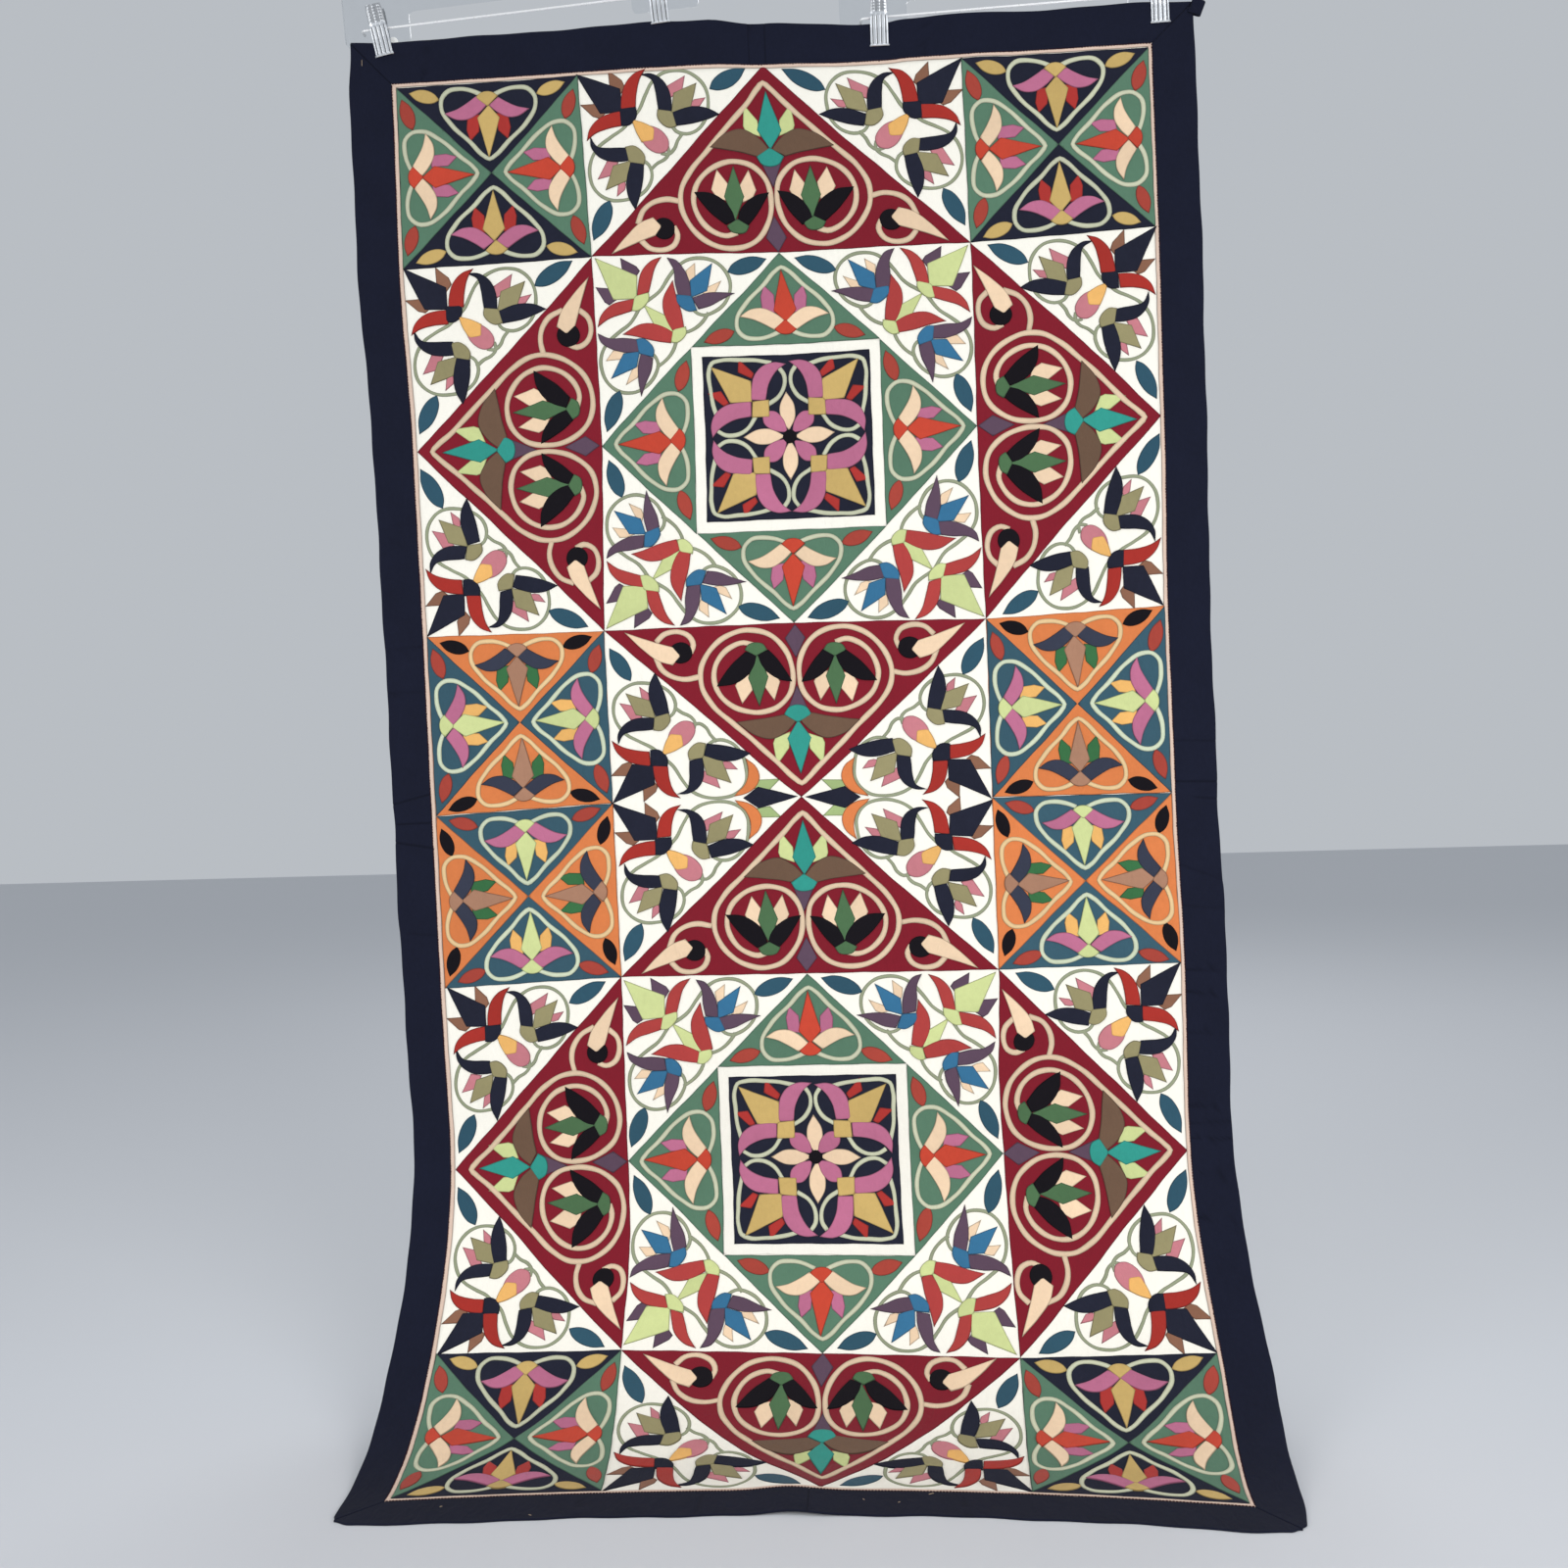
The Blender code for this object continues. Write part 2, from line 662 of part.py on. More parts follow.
def clip_place(clip):
    """Where a clip hangs on its bar."""
    hanger = HANGERS[clip.hanger]
    return hanger_frame(hanger) @ Vector((clip.side * hanger.half_span, 0, -clip_drop(clip)))


def prism(name, outline, front, thickness, axis):
    """A flat outline pushed along Y, or along X for a section drawn in Y and Z."""
    bm = bmesh.new()
    if axis == "Y":
        corners = [bm.verts.new((a, front, b)) for a, b in outline]
        push = Vector((0, thickness, 0))
    else:
        corners = [bm.verts.new((front, a, b)) for a, b in outline]
        push = Vector((thickness, 0, 0))
    face = bm.faces.new(corners)
    pushed = bmesh.ops.extrude_face_region(bm, geom=[face])
    moved = [item for item in pushed["geom"] if isinstance(item, bmesh.types.BMVert)]
    bmesh.ops.translate(bm, vec=push, verts=moved)
    bmesh.ops.recalc_face_normals(bm, faces=bm.faces[:])
    mesh = bpy.data.meshes.new(name)
    bm.to_mesh(mesh)
    bm.free()
    return mesh


def drill(target, radius, depth, matrix, name):
    """Cuts a round hole whose axis is the matrix's Z, from its origin back by depth."""
    bm = bmesh.new()
    bmesh.ops.create_cone(bm, cap_ends=True, segments=BORE_SIDES, radius1=radius, radius2=radius, depth=depth)
    mesh = bpy.data.meshes.new(name)
    bm.to_mesh(mesh)
    bm.free()
    cutter = bpy.data.objects.new(name, mesh)
    bpy.context.scene.collection.objects.link(cutter)
    cutter.matrix_world = matrix
    cutter.hide_render = True
    cutter.display_type = "WIRE"
    cut = target.modifiers.new(name, "BOOLEAN")
    cut.object = cutter
    cut.operation = "DIFFERENCE"
    cut.solver = "EXACT"


def rounded(outline, radius, steps=3):
    """An outline whose corners are arcs of one radius."""
    found = []
    count = len(outline)
    for index in range(count):
        before, here, after = (Vector(outline[(index + shift) % count]) for shift in (-1, 0, 1))
        to_before = (before - here).normalized()
        to_after = (after - here).normalized()
        half = to_before.angle(to_after) / 2
        if half > math.radians(FLAT_CORNER_HALF_DEG):
            found.append(tuple(here))
            continue
        shorter = min((before - here).length, (after - here).length)
        reach = min(radius / math.tan(half), shorter * ARC_SIDE_SHARE)
        arc = reach * math.tan(half)
        centre = here + (to_before + to_after).normalized() * (arc / math.sin(half))
        first = here + to_before * reach - centre
        last = here + to_after * reach - centre
        turn = first.angle_signed(last)
        for step in range(steps + 1):
            swing = -turn * step / steps
            found.append(tuple(centre + Matrix.Rotation(swing, 2) @ first))
    return found


def clip_section():
    """Section of a clip in Y and Z: two leaves held apart by the spring's block."""
    half = LEAF_THICKNESS / 2

    def leaf_y(z):
        for low, high in zip(LEAF_LINE, LEAF_LINE[1:]):
            if z <= high.z:
                return low.y + (high.y - low.y) * (z - low.z) / (high.z - low.z)
        return LEAF_LINE[-1].y

    heights = [point.z for point in LEAF_LINE]
    below = [z for z in heights if z < -SPRING_BLOCK_HALF] + [-SPRING_BLOCK_HALF]
    above = [SPRING_BLOCK_HALF] + [z for z in heights if z > SPRING_BLOCK_HALF]
    section = [(-(leaf_y(z) + half), z) for z in reversed(heights)]
    section += [(-(leaf_y(z) - half), z) for z in below]
    section += [(leaf_y(z) - half, z) for z in reversed(below)]
    section += [(leaf_y(z) + half, z) for z in heights]
    section += [(leaf_y(z) - half, z) for z in reversed(above)]
    section += [(-(leaf_y(z) - half), z) for z in above]
    return section


def clips():
    """Four sprung clips, each leaning as it hangs, loose on its bar."""
    metal = material("clip_metal", (205, 208, 212), 0.22, 1.0)
    for number, clip in enumerate(CLIPS, 1):
        mesh = prism(f"clip_{number}", clip_section(), -CLIP_WIDTH / 2, CLIP_WIDTH, "X")
        made = new_object(f"clip_{number}", mesh, metal)
        made.location = clip_place(clip)
        made.rotation_euler = (0, -math.radians(clip.lean_deg), 0)
        place = Matrix.Translation(made.location) @ Matrix.Rotation(-math.radians(clip.lean_deg), 4, "Y")
        along_bar = place @ Matrix.Rotation(math.pi / 2, 4, "Y")
        drill(made, SPRING_BORE_RADIUS, CLIP_WIDTH * 2, along_bar, f"clip_bore_{number}")


def wire(name, points, radius, matrix, finish):
    """A round wire along points, its ends closed."""
    curve = bpy.data.curves.new(name, "CURVE")
    curve.dimensions = "3D"
    curve.bevel_depth = radius
    curve.bevel_resolution = 2
    curve.use_fill_caps = True
    spline = curve.splines.new("POLY")
    spline.points.add(len(points) - 1)
    for slot, point in zip(spline.points, points):
        slot.co = (*point, 1.0)
    spline.use_smooth = True
    made = new_object(name, curve, finish)
    made.matrix_world = matrix
    return made


def arc_points(centre, radius, start_deg, end_deg, steps, plane):
    """Points on an arc in the plane XZ or XY."""
    found = []
    for step in range(steps + 1):
        angle = math.radians(start_deg + (end_deg - start_deg) * step / steps)
        aside, up = radius * math.cos(angle), radius * math.sin(angle)
        offset = Vector((aside, 0, up)) if plane == "XZ" else Vector((aside, up, 0))
        found.append(Vector(centre) + offset)
    return found


def hanger_bar(number, hanger):
    """The wire bar, its ends turned back into the clear arm."""
    metal = material("bar_metal", (200, 203, 208), 0.2, 1.0)
    end = hanger.half_span + BAR_OVERHANG
    back = ARM_FRONT_Y + SOCKET_DEPTH - GAP
    bend = BAR_BEND_RADIUS
    right = arc_points((end - bend, bend, 0), bend, -90, 0, 4, "XY") + [Vector((end, back, 0))]
    left = [Vector((-point.x, point.y, point.z)) for point in reversed(right)]
    wire(f"hanger_bar_{number}", left + right, BAR_RADIUS, hanger_frame(hanger), metal)


def hanger_arm(number, hanger):
    """The clear bar of a hanger, with a pad at each end for the wire and a neck for the hook."""
    plastic = material("clear_plastic", (226, 232, 236), 0.08)
    outer = hanger.half_span + ARM_PAD_OUT
    inner = hanger.half_span - ARM_PAD_IN
    right = [
        (ARM_NECK_HALF, ARM_NECK_TOP),
        (ARM_NECK_HALF + ARM_NECK_FLARE, ARM_TOP),
        (outer, ARM_TOP),
        (outer, -ARM_PAD_BELOW),
        (inner, -ARM_PAD_BELOW),
        (inner, ARM_BOTTOM),
    ]
    left = [(-x, z) for x, z in reversed(right)]
    outline = rounded(right + left, ARM_FILLET)
    mesh = prism(f"hanger_arm_{number}", outline, ARM_FRONT_Y, ARM_THICKNESS, "Y")
    made = new_object(f"hanger_arm_{number}", mesh, plastic)
    made.matrix_world = hanger_frame(hanger)
    turn = Matrix.Rotation(math.pi / 2, 4, "X")
    for side in (-1, 1):
        x = side * (hanger.half_span + BAR_OVERHANG)
        middle = Vector((x, ARM_FRONT_Y + SOCKET_DEPTH - CUTTER_OVERRUN, 0))
        place = hanger_frame(hanger) @ Matrix.Translation(middle) @ turn
        drill(made, BAR_RADIUS + GAP, 2 * CUTTER_OVERRUN, place, f"bar_socket_{number}_{side + 1}")
    middle = Vector((0, ARM_PLANE_Y, ARM_NECK_TOP))
    place = hanger_frame(hanger) @ Matrix.Translation(middle)
    drill(made, HOOK_WIRE_RADIUS + GAP, 2 * HOOK_SHANK_IN, place, f"hook_socket_{number}")


def hanger_hook(number, hanger):
    """The hook: a shank up from the neck, a short swing aside and most of a circle."""
    metal = material("hook_metal", (200, 203, 208), 0.2, 1.0)
    centre = (0, ARM_PLANE_Y, HOOK_CENTRE)
    bottom = ARM_NECK_TOP - HOOK_SHANK_IN + GAP
    shank_top = ARM_NECK_TOP + HOOK_SHANK_OUT
    loop = arc_points(centre, HOOK_RADIUS, HOOK_START_DEG, HOOK_END_DEG, 16, "XZ")
    shank = [Vector((0, ARM_PLANE_Y, bottom)), Vector((0, ARM_PLANE_Y, shank_top))]
    first = loop[0]
    swing = []
    for step in HOOK_SWING_STEPS:
        easing = smoothstep(step)
        swing.append(Vector((first.x * easing, ARM_PLANE_Y, shank_top + (first.z - shank_top) * step)))
    wire(f"hanger_hook_{number}", shank + swing + loop, HOOK_WIRE_RADIUS, hanger_frame(hanger), metal)


def hangers():
    for number, hanger in enumerate(HANGERS, 1):
        hanger_bar(number, hanger)
        hanger_arm(number, hanger)
        hanger_hook(number, hanger)


def clear_scene():
    for item in list(bpy.data.objects):
        bpy.data.objects.remove(item, do_unlink=True)


def main():
    clear_scene()
    ground_cloth()
    edging()
    patches()
    borders()
    corner_tuck()
    clips()
    hangers()


main()
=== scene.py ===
"""Applique wall hanging on two clip hangers: the visual model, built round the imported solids.

Metres, +Z up, seen from -Y, in the frame of the solids. The cloth is worked out flat: s runs across from
its middle line and t runs down from the top of the pattern. A block of the pattern is one unit of u across
and v down. Flat outlines are kept as x = s and y = -t, so that they read as they look from the front.
"""

from __future__ import annotations

import logging
import math
from collections.abc import Callable, Sequence
from dataclasses import dataclass, field
from enum import Enum

import bpy
import numpy as np
from mathutils import Matrix, Vector
from mathutils.geometry import delaunay_2d_cdt

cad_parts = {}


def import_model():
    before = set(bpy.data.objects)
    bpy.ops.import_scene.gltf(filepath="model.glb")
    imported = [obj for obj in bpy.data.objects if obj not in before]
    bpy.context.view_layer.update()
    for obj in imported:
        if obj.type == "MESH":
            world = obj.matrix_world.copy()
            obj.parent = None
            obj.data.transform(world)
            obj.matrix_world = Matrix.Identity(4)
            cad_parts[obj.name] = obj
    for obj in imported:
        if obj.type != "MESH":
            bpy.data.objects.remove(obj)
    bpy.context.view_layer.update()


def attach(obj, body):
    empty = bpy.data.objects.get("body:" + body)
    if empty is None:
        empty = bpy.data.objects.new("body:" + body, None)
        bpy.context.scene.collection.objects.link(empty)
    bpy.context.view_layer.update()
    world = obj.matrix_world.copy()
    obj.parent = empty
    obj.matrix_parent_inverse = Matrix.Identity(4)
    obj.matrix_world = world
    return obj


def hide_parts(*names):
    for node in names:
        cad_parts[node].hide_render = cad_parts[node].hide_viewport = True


LOG = logging.getLogger("wall_hanging")
BODY = "root"
SEED = 20

Socket = bpy.types.NodeSocket
Point = tuple[float, float]
Points = Sequence[Point]
Triple = tuple[float, float, float]
Corners = tuple[int, ...]


class Dye(Enum):
    """Every colour of cotton in the hanging, as seen, 0 to 255."""

    CREAM = (242, 238, 226)
    BORDER_NAVY = (23, 26, 42)
    SALMON = (218, 192, 174)
    DARK_RED = (123, 20, 36)
    GREEN = (84, 118, 96)
    NAVY = (33, 35, 49)
    ORANGE = (212, 122, 69)
    TEAL = (52, 84, 98)
    PALE_GREEN = (198, 200, 172)
    PALE_YELLOW = (226, 194, 144)
    MIST = (201, 210, 182)
    TAN = (219, 193, 163)
    STEM = (148, 154, 126)
    MAUVE = (180, 104, 134)
    PEACH = (230, 201, 168)
    RED_ORANGE = (190, 66, 46)
    GOLD = (194, 164, 100)
    CHERRY = (167, 49, 44)
    BRICK = (162, 64, 52)
    SCARLET = (160, 44, 36)
    BLUE_TEAL = (43, 79, 96)
    OLIVE = (145, 137, 99)
    BROWN = (134, 93, 72)
    PINK = (190, 118, 126)
    LEAF_GREEN = (197, 206, 142)
    SPRING_GREEN = (158, 178, 120)
    GRASS = (52, 104, 62)
    WINE = (168, 60, 57)
    PLUM = (88, 67, 84)
    BLUE = (50, 106, 142)
    TURQUOISE = (46, 143, 130)
    MOSS = (73, 106, 71)
    BLACK = (21, 18, 23)
    SLATE = (50, 54, 70)
    WING_BROWN = (103, 79, 62)
    TAUPE = (162, 120, 96)
    AMBER = (228, 174, 100)
    THREAD_RED = (66, 20, 24)


def smoothstep(value: np.ndarray | float) -> np.ndarray:
    """Eases 0 to 1 with a level start and end."""
    value = np.clip(value, 0.0, 1.0)
    return value * value * (3 - 2 * value)


def ease(value: float) -> float:
    """Eases one number, as smoothstep does rows of them."""
    return float(smoothstep(value))


def linear(colour: tuple[int, int, int]) -> tuple[float, float, float, float]:
    """A colour as seen, 0 to 255, as linear values with full alpha."""
    parts = [c / 255 / 12.92 if c <= 10 else ((c / 255 + 0.055) / 1.055) ** 2.4 for c in colour]
    return parts[0], parts[1], parts[2], 1.0


@dataclass(frozen=True)
class Fold:
    """A soft fold: its middle, half-width, half-length, height forward and sideways slant."""

    across: float
    down: float
    width: float
    length: float
    height: float
    slant: float


@dataclass(frozen=True)
class Slip:
    """A soft slip of the sewn pattern, in blocks: its middle, how far it reaches and how far it moves."""

    across: float
    down: float
    reach_across: float
    reach_down: float
    right: float
    lower: float


@dataclass(frozen=True)
class Hanger:
    """One clip hanger: the middle of its wire bar, its rise to the right and half its span between clips."""

    across: float
    above: float
    rise_deg: float
    half_span: float


@dataclass(frozen=True)
class ClipPlace:
    """Where a clip hangs: its hanger, the side of it and how far its top leans left."""

    hanger: int
    side: int
    lean_deg: float


@dataclass(frozen=True)
class HangerSizes:
    """The sizes that the clips, bars, arms and hooks share, as in the solids."""

    hangers: tuple[Hanger, ...] = (Hanger(-0.2985, 0.0835, 3.5, 0.171), Hanger(0.3012, 0.0565, 1.5, 0.165))
    clips: tuple[ClipPlace, ...] = (
        ClipPlace(0, -1, 10.4),
        ClipPlace(0, 1, 4.7),
        ClipPlace(1, -1, 0.1),
        ClipPlace(1, 1, 1.8),
    )
    clip_width: float = 0.0206
    bore_radius: float = 0.0032
    bore_sides: int = 16
    bar_radius: float = 0.0015
    gap: float = 0.0003
    arm_front: float = 0.012
    arm_thickness: float = 0.006
    hook_centre: float = 0.0960
    hook_radius: float = 0.0220
    hook_wire: float = 0.0017

    def arm_plane(self) -> float:
        """How far the arms' middle plane lies behind the bars."""
        return self.arm_front + self.arm_thickness / 2

    def pattern_top(self) -> float:
        """Height of the top of the pattern under the middle of the two crowns."""
        crown = self.hook_centre + self.hook_radius - self.hook_wire
        return -crown - sum(hanger.above for hanger in self.hangers) / len(self.hangers)

    def frame(self, number: int) -> Matrix:
        """Place and turn of a hanger, its own X along its bar.

        Args:
            number: Which hanger, from 0.

        Returns:
            The matrix of its frame.
        """
        hanger = self.hangers[number]
        middle = Vector((hanger.across, -self.arm_plane(), self.pattern_top() + hanger.above))
        return Matrix.Translation(middle) @ Matrix.Rotation(-math.radians(hanger.rise_deg), 4, "Y")

    def clip_place(self, clip: ClipPlace) -> Vector:
        """Where a clip hangs on its bar by its spring.

        Args:
            clip: The clip.

        Returns:
            The middle of its spring.
        """
        hanger = self.hangers[clip.hanger]
        askew = math.radians(abs(clip.lean_deg - hanger.rise_deg))
        room = self.bore_radius * math.cos(math.pi / self.bore_sides) - self.bar_radius - self.gap
        drop = room - self.clip_width / 2 * math.tan(askew)
        return self.frame(clip.hanger) @ Vector((clip.side * hanger.half_span, 0, -drop))

    def clip_frame(self, clip: ClipPlace) -> Matrix:
        """Place and turn of a clip."""
        turn = Matrix.Rotation(-math.radians(clip.lean_deg), 4, "Y")
        return Matrix.Translation(self.clip_place(clip)) @ turn


@dataclass(frozen=True)
class Cloth:
    """The hanging cloth's surface: the solids' own sizes, worked out for many places at once.

    The shifts are how far hand piecing left each corner of the blocks off its lines, in thousandths of a
    block across and down, a row for each line down. The pulls are how far the left and right sides stray to
    the right at each line down, in millimetres.
    """

    sizes: HangerSizes = field(default_factory=HangerSizes)
    columns: tuple[float, ...] = (0.219, 0.23, 0.229, 0.217)
    rows: tuple[float, ...] = (0.216, 0.219, 0.227, 0.218, 0.212, 0.23, 0.23, 0.224)
    stretch: tuple[float, ...] = (1.008, 1.005, 0.996, 1.000, 0.997, 1.002, 0.998, 1.009, 0.995)
    edging: float = 0.005
    border_top: float = 0.0495
    border_bottom: float = 0.0525
    border_left: Point = (0.053, 0.044)
    border_right: Point = (0.05, 0.051)
    floor_drop: float = 1.590
    lean: float = 0.0056
    drift: float = 0.0123
    bend_middle: float = 0.270
    bend_left: float = 0.326
    bend_right: float = 0.357
    lift_at_seam: float = 0.45
    lift_end: float = 0.25
    bite_lift: float = 0.008
    bite_half: float = 0.0065
    bite_aside: float = 0.004
    bite_flat: float = 0.4
    fold_full: float = 0.30
    lifts: Points = (
        (-0.51, 5.0), (-0.45, 2.0), (-0.33, 3.5), (-0.14, 7.5), (-0.07, 7.0), (0.000, -2.0), (0.11, -9.0),
        (0.148, -8.5), (0.162, -5.5), (0.21, -4.0), (0.255, -3.0), (0.3, -5.0), (0.44, -3.0), (0.51, -5.0),
    )
    folds: tuple[Fold, ...] = (
        Fold(-0.43, 0.62, 0.06, 0.45, 0.0045, 0.03),
        Fold(-0.29, 0.45, 0.07, 0.32, -0.004, 0.05),
        Fold(-0.13, 0.58, 0.06, 0.4, 0.0045, -0.04),
        Fold(0.02, 0.42, 0.07, 0.3, -0.0035, 0.00),
        Fold(0.14, 0.66, 0.06, 0.42, 0.005, 0.04),
        Fold(0.3, 0.5, 0.075, 0.34, -0.0045, -0.03),
        Fold(0.45, 0.7, 0.055, 0.48, 0.005, -0.02),
        Fold(-0.02, 1.8, 0.035, 0.08, 0.0045, 0.2),
        Fold(-0.5, 0.98, 0.03, 0.05, 0.0035, 0.00),
    )
    pulls: Points = (
        (0, 0), (-3.5, 2), (-1.5, 4.5), (1, -1), (-1, 1.5), (1, 3.5), (1.5, 3.5), (2, 4), (-1, 0),
    )
    slips: tuple[Slip, ...] = (
        Slip(1.42, 0.00, 0.38, 0.4, 0.000, -0.034),
        Slip(2.00, 0.00, 0.2, 0.25, 0.000, -0.014),
        Slip(2.00, 0.85, 0.7, 0.3, -0.022, 0.000),
        Slip(3.5, 1.75, 0.4, 0.5, 0.022, 0.000),
        Slip(1.5, 3.85, 0.45, 0.15, 0.000, 0.018),
        Slip(2.5, 3.85, 0.45, 0.15, 0.000, 0.018),
        Slip(1.5, 4.15, 0.45, 0.15, 0.000, -0.018),
        Slip(2.5, 4.15, 0.45, 0.15, 0.000, -0.018),
        Slip(3.2, 5.6, 0.3, 0.35, -0.028, -0.022),
        Slip(0.78, 6.45, 0.3, 0.35, 0.018, 0.032),
        Slip(0.5, 7.5, 0.45, 0.28, 0.000, 0.035),
        Slip(2.00, 7.5, 0.8, 0.28, 0.000, 0.02),
        Slip(3.5, 7.5, 0.6, 0.28, 0.000, 0.05),
    )
    shifts: tuple[Points, ...] = (
        ((0, 0), (8, 0), (-25, 0), (0, 0), (4, 0)),
        ((0, 8), (37, -14), (38, 12), (18, 10), (4, -25)),
        ((0, 20), (34, 27), (34, 12), (19, 2), (4, -7)),
        ((0, 14), (3, 14), (16, 4), (25, 20), (4, -16)),
        ((4, 25), (3, -20), (14, -27), (25, 7), (0, 7)),
        ((4, 30), (11, -11), (4, -8), (19, -7), (4, -27)),
        ((0, 14), (-6, -20), (8, -28), (14, -27), (4, -38)),
        ((4, -10), (-8, -25), (20, 3), (15, 34), (4, 7)),
        ((0, 0), (12, 0), (27, 0), (0, 0), (4, 0)),
    )

    @property
    def width(self) -> float:
        """Width of the pattern."""
        return sum(self.columns)

    @property
    def height(self) -> float:
        """Height of the pattern."""
        return sum(self.rows)

    @staticmethod
    def along(lines: tuple[float, ...], units: np.ndarray) -> np.ndarray:
        """Metres at places counted in blocks; past either end the last block's size carries on.

        Args:
            lines: The size of each block.
            units: Places counted in blocks.

        Returns:
            The places in metres.
        """
        sizes = np.array(lines)
        starts = np.concatenate([[0.0], np.cumsum(sizes)])
        whole = np.clip(np.floor(units).astype(int), 0, len(lines) - 1)
        return starts[whole] + sizes[whole] * (units - whole)

    def flat(self, blocks: np.ndarray) -> np.ndarray:
        """Flat x and y in metres of places counted in blocks.

        Args:
            blocks: Rows of u and v.

        Returns:
            Rows of x = s and y = -t.
        """
        table = np.array(self.shifts) / 1000
        held = np.clip(blocks, 0.0, [len(self.columns) - 1e-6, len(self.rows) - 1e-6])
        corner = np.floor(held).astype(int)
        across, down = (held - corner).T
        u, v = corner.T
        high = table[v, u] * (1 - across)[:, None] + table[v, u + 1] * across[:, None]
        low = table[v + 1, u] * (1 - across)[:, None] + table[v + 1, u + 1] * across[:, None]
        moved = blocks + high * (1 - down)[:, None] + low * down[:, None]
        for slip in self.slips:
            off = (blocks - (slip.across, slip.down)) / (slip.reach_across, slip.reach_down)
            moved = moved + np.exp(-(off**2).sum(axis=1))[:, None] * (slip.right, slip.lower)
        x = self.along(self.columns, moved[:, 0]) - self.width / 2
        return np.column_stack([x, -self.along(self.rows, moved[:, 1])])

    def row_place(self, t: np.ndarray) -> tuple[np.ndarray, np.ndarray]:
        """The row that t down falls in, and the eased share of the way through it.

        Args:
            t: Places down, in metres.

        Returns:
            The row of each, and its eased share.
        """
        lines = np.concatenate([[0.0], np.cumsum(self.rows)])
        inside = np.clip(t, 0.0, lines[-1])
        row = np.clip(np.searchsorted(lines, inside, side="left") - 1, 0, len(self.rows) - 1)
        return row, smoothstep((inside - lines[row]) / np.array(self.rows)[row])

    def row_stretch(self, t: np.ndarray) -> np.ndarray:
        """Width against the mean at t down, eased from row line to row line.

        Args:
            t: Places down, in metres.

        Returns:
            The width of each row against the mean.
        """
        row, part = self.row_place(t)
        table = np.array(self.stretch)
        return table[row] + (table[row + 1] - table[row]) * part

    def side_pull(self, s: np.ndarray, t: np.ndarray) -> np.ndarray:
        """How far the sides stray from their even lines; nothing in the middle half of the cloth.

        Args:
            s: Places across, in metres.
            t: Places down, in metres.

        Returns:
            How far each place moves to the right.
        """
        row, part = self.row_place(t)
        table = np.array(self.pulls) / 1000
        pull = table[row] + (table[row + 1] - table[row]) * part[:, None]
        share = smoothstep(np.abs(4 * s / self.width) - 1)
        return np.where(s < 0, pull[:, 0], pull[:, 1]) * share

    def bite_place(self) -> float:
        """Where along the top edge the second clip's jaw draws the cloth up."""
        return self.sizes.clip_place(self.sizes.clips[1]).x + self.bite_aside

    def edge_lift(self, s: np.ndarray, t: np.ndarray) -> np.ndarray:
        """How far the clips draw the cloth up at each place.

        Args:
            s: Places across, in metres.
            t: Places down, in metres.

        Returns:
            How far each place is drawn up.
        """
        table = np.array(self.lifts)
        held = np.clip(s, table[0, 0], table[-1, 0])
        left = np.clip(np.searchsorted(table[:, 0], held, side="left") - 1, 0, len(table) - 2)
        part = smoothstep((held - table[left, 0]) / (table[left + 1, 0] - table[left, 0]))
        lift = (table[left, 1] + (table[left + 1, 1] - table[left, 1]) * part) / 1000
        above = -(t + self.edging) / self.border_top
        bite = np.abs(s - self.bite_place()) / self.bite_half
        high = lift * (self.lift_at_seam + (1 - self.lift_at_seam) * above)
        high = high + self.bite_lift * above**2 * (1 - smoothstep(bite - self.bite_flat))
        low = lift * self.lift_at_seam * (1 - smoothstep((t + self.edging) / self.lift_end))
        return np.where(t < -self.edging, high, low)

    def fold_height(self, s: np.ndarray, t: np.ndarray) -> np.ndarray:
        """How far the soft folds stand forward of the plain sheet.

        Args:
            s: Places across, in metres.
            t: Places down, in metres.

        Returns:
            How far each place stands forward.
        """
        total = np.zeros_like(s)
        for fold in self.folds:
            aside = (s - fold.across - fold.slant * (t - fold.down)) / fold.width
            down = (t - fold.down) / fold.length
            total += fold.height * np.exp(-aside * aside - down * down)
        return total * smoothstep(t / self.fold_full)

    def plain(self, s: np.ndarray, t: np.ndarray) -> np.ndarray:
        """The sheet's middle with no folds: straight down, one bend, then flat on the floor.

        Args:
            s: Places across, in metres.
            t: Places down, in metres.

        Returns:
            Rows of x, y and z.
        """
        side = 2 * s / self.width
        end = np.where(side < 0, self.bend_left, self.bend_right)
        radius = self.bend_middle + (end - self.bend_middle) * side * side
        start = self.floor_drop - radius
        angle = np.clip((t - start) / radius, 0.0, math.pi / 2)
        flat = np.maximum(t - start - radius * math.pi / 2, 0.0)
        x = s * self.row_stretch(t) + self.drift * t + self.side_pull(s, t)
        y = -self.sizes.arm_plane() - self.lean * np.clip(t, 0.0, start) - radius * (1 - np.cos(angle)) - flat
        z = self.sizes.pattern_top() + self.edge_lift(s, t) - np.minimum(t, start) - radius * np.sin(angle)
        return np.column_stack([x, y, z])

    @staticmethod
    def facing(place: Callable, s: np.ndarray, t: np.ndarray, step: float = 0.002) -> np.ndarray:
        """Unit normals, on its front, of a sheet that the function place gives.

        Args:
            place: Gives the sheet's place at s and t.
            s: Places across, in metres.
            t: Places down, in metres.
            step: How far apart it is looked at.

        Returns:
            Rows of unit normals.
        """
        aside = place(s + step, t) - place(s - step, t)
        down = place(s, t + step) - place(s, t - step)
        normal = np.cross(down, aside)
        return normal / np.linalg.norm(normal, axis=1, keepdims=True)

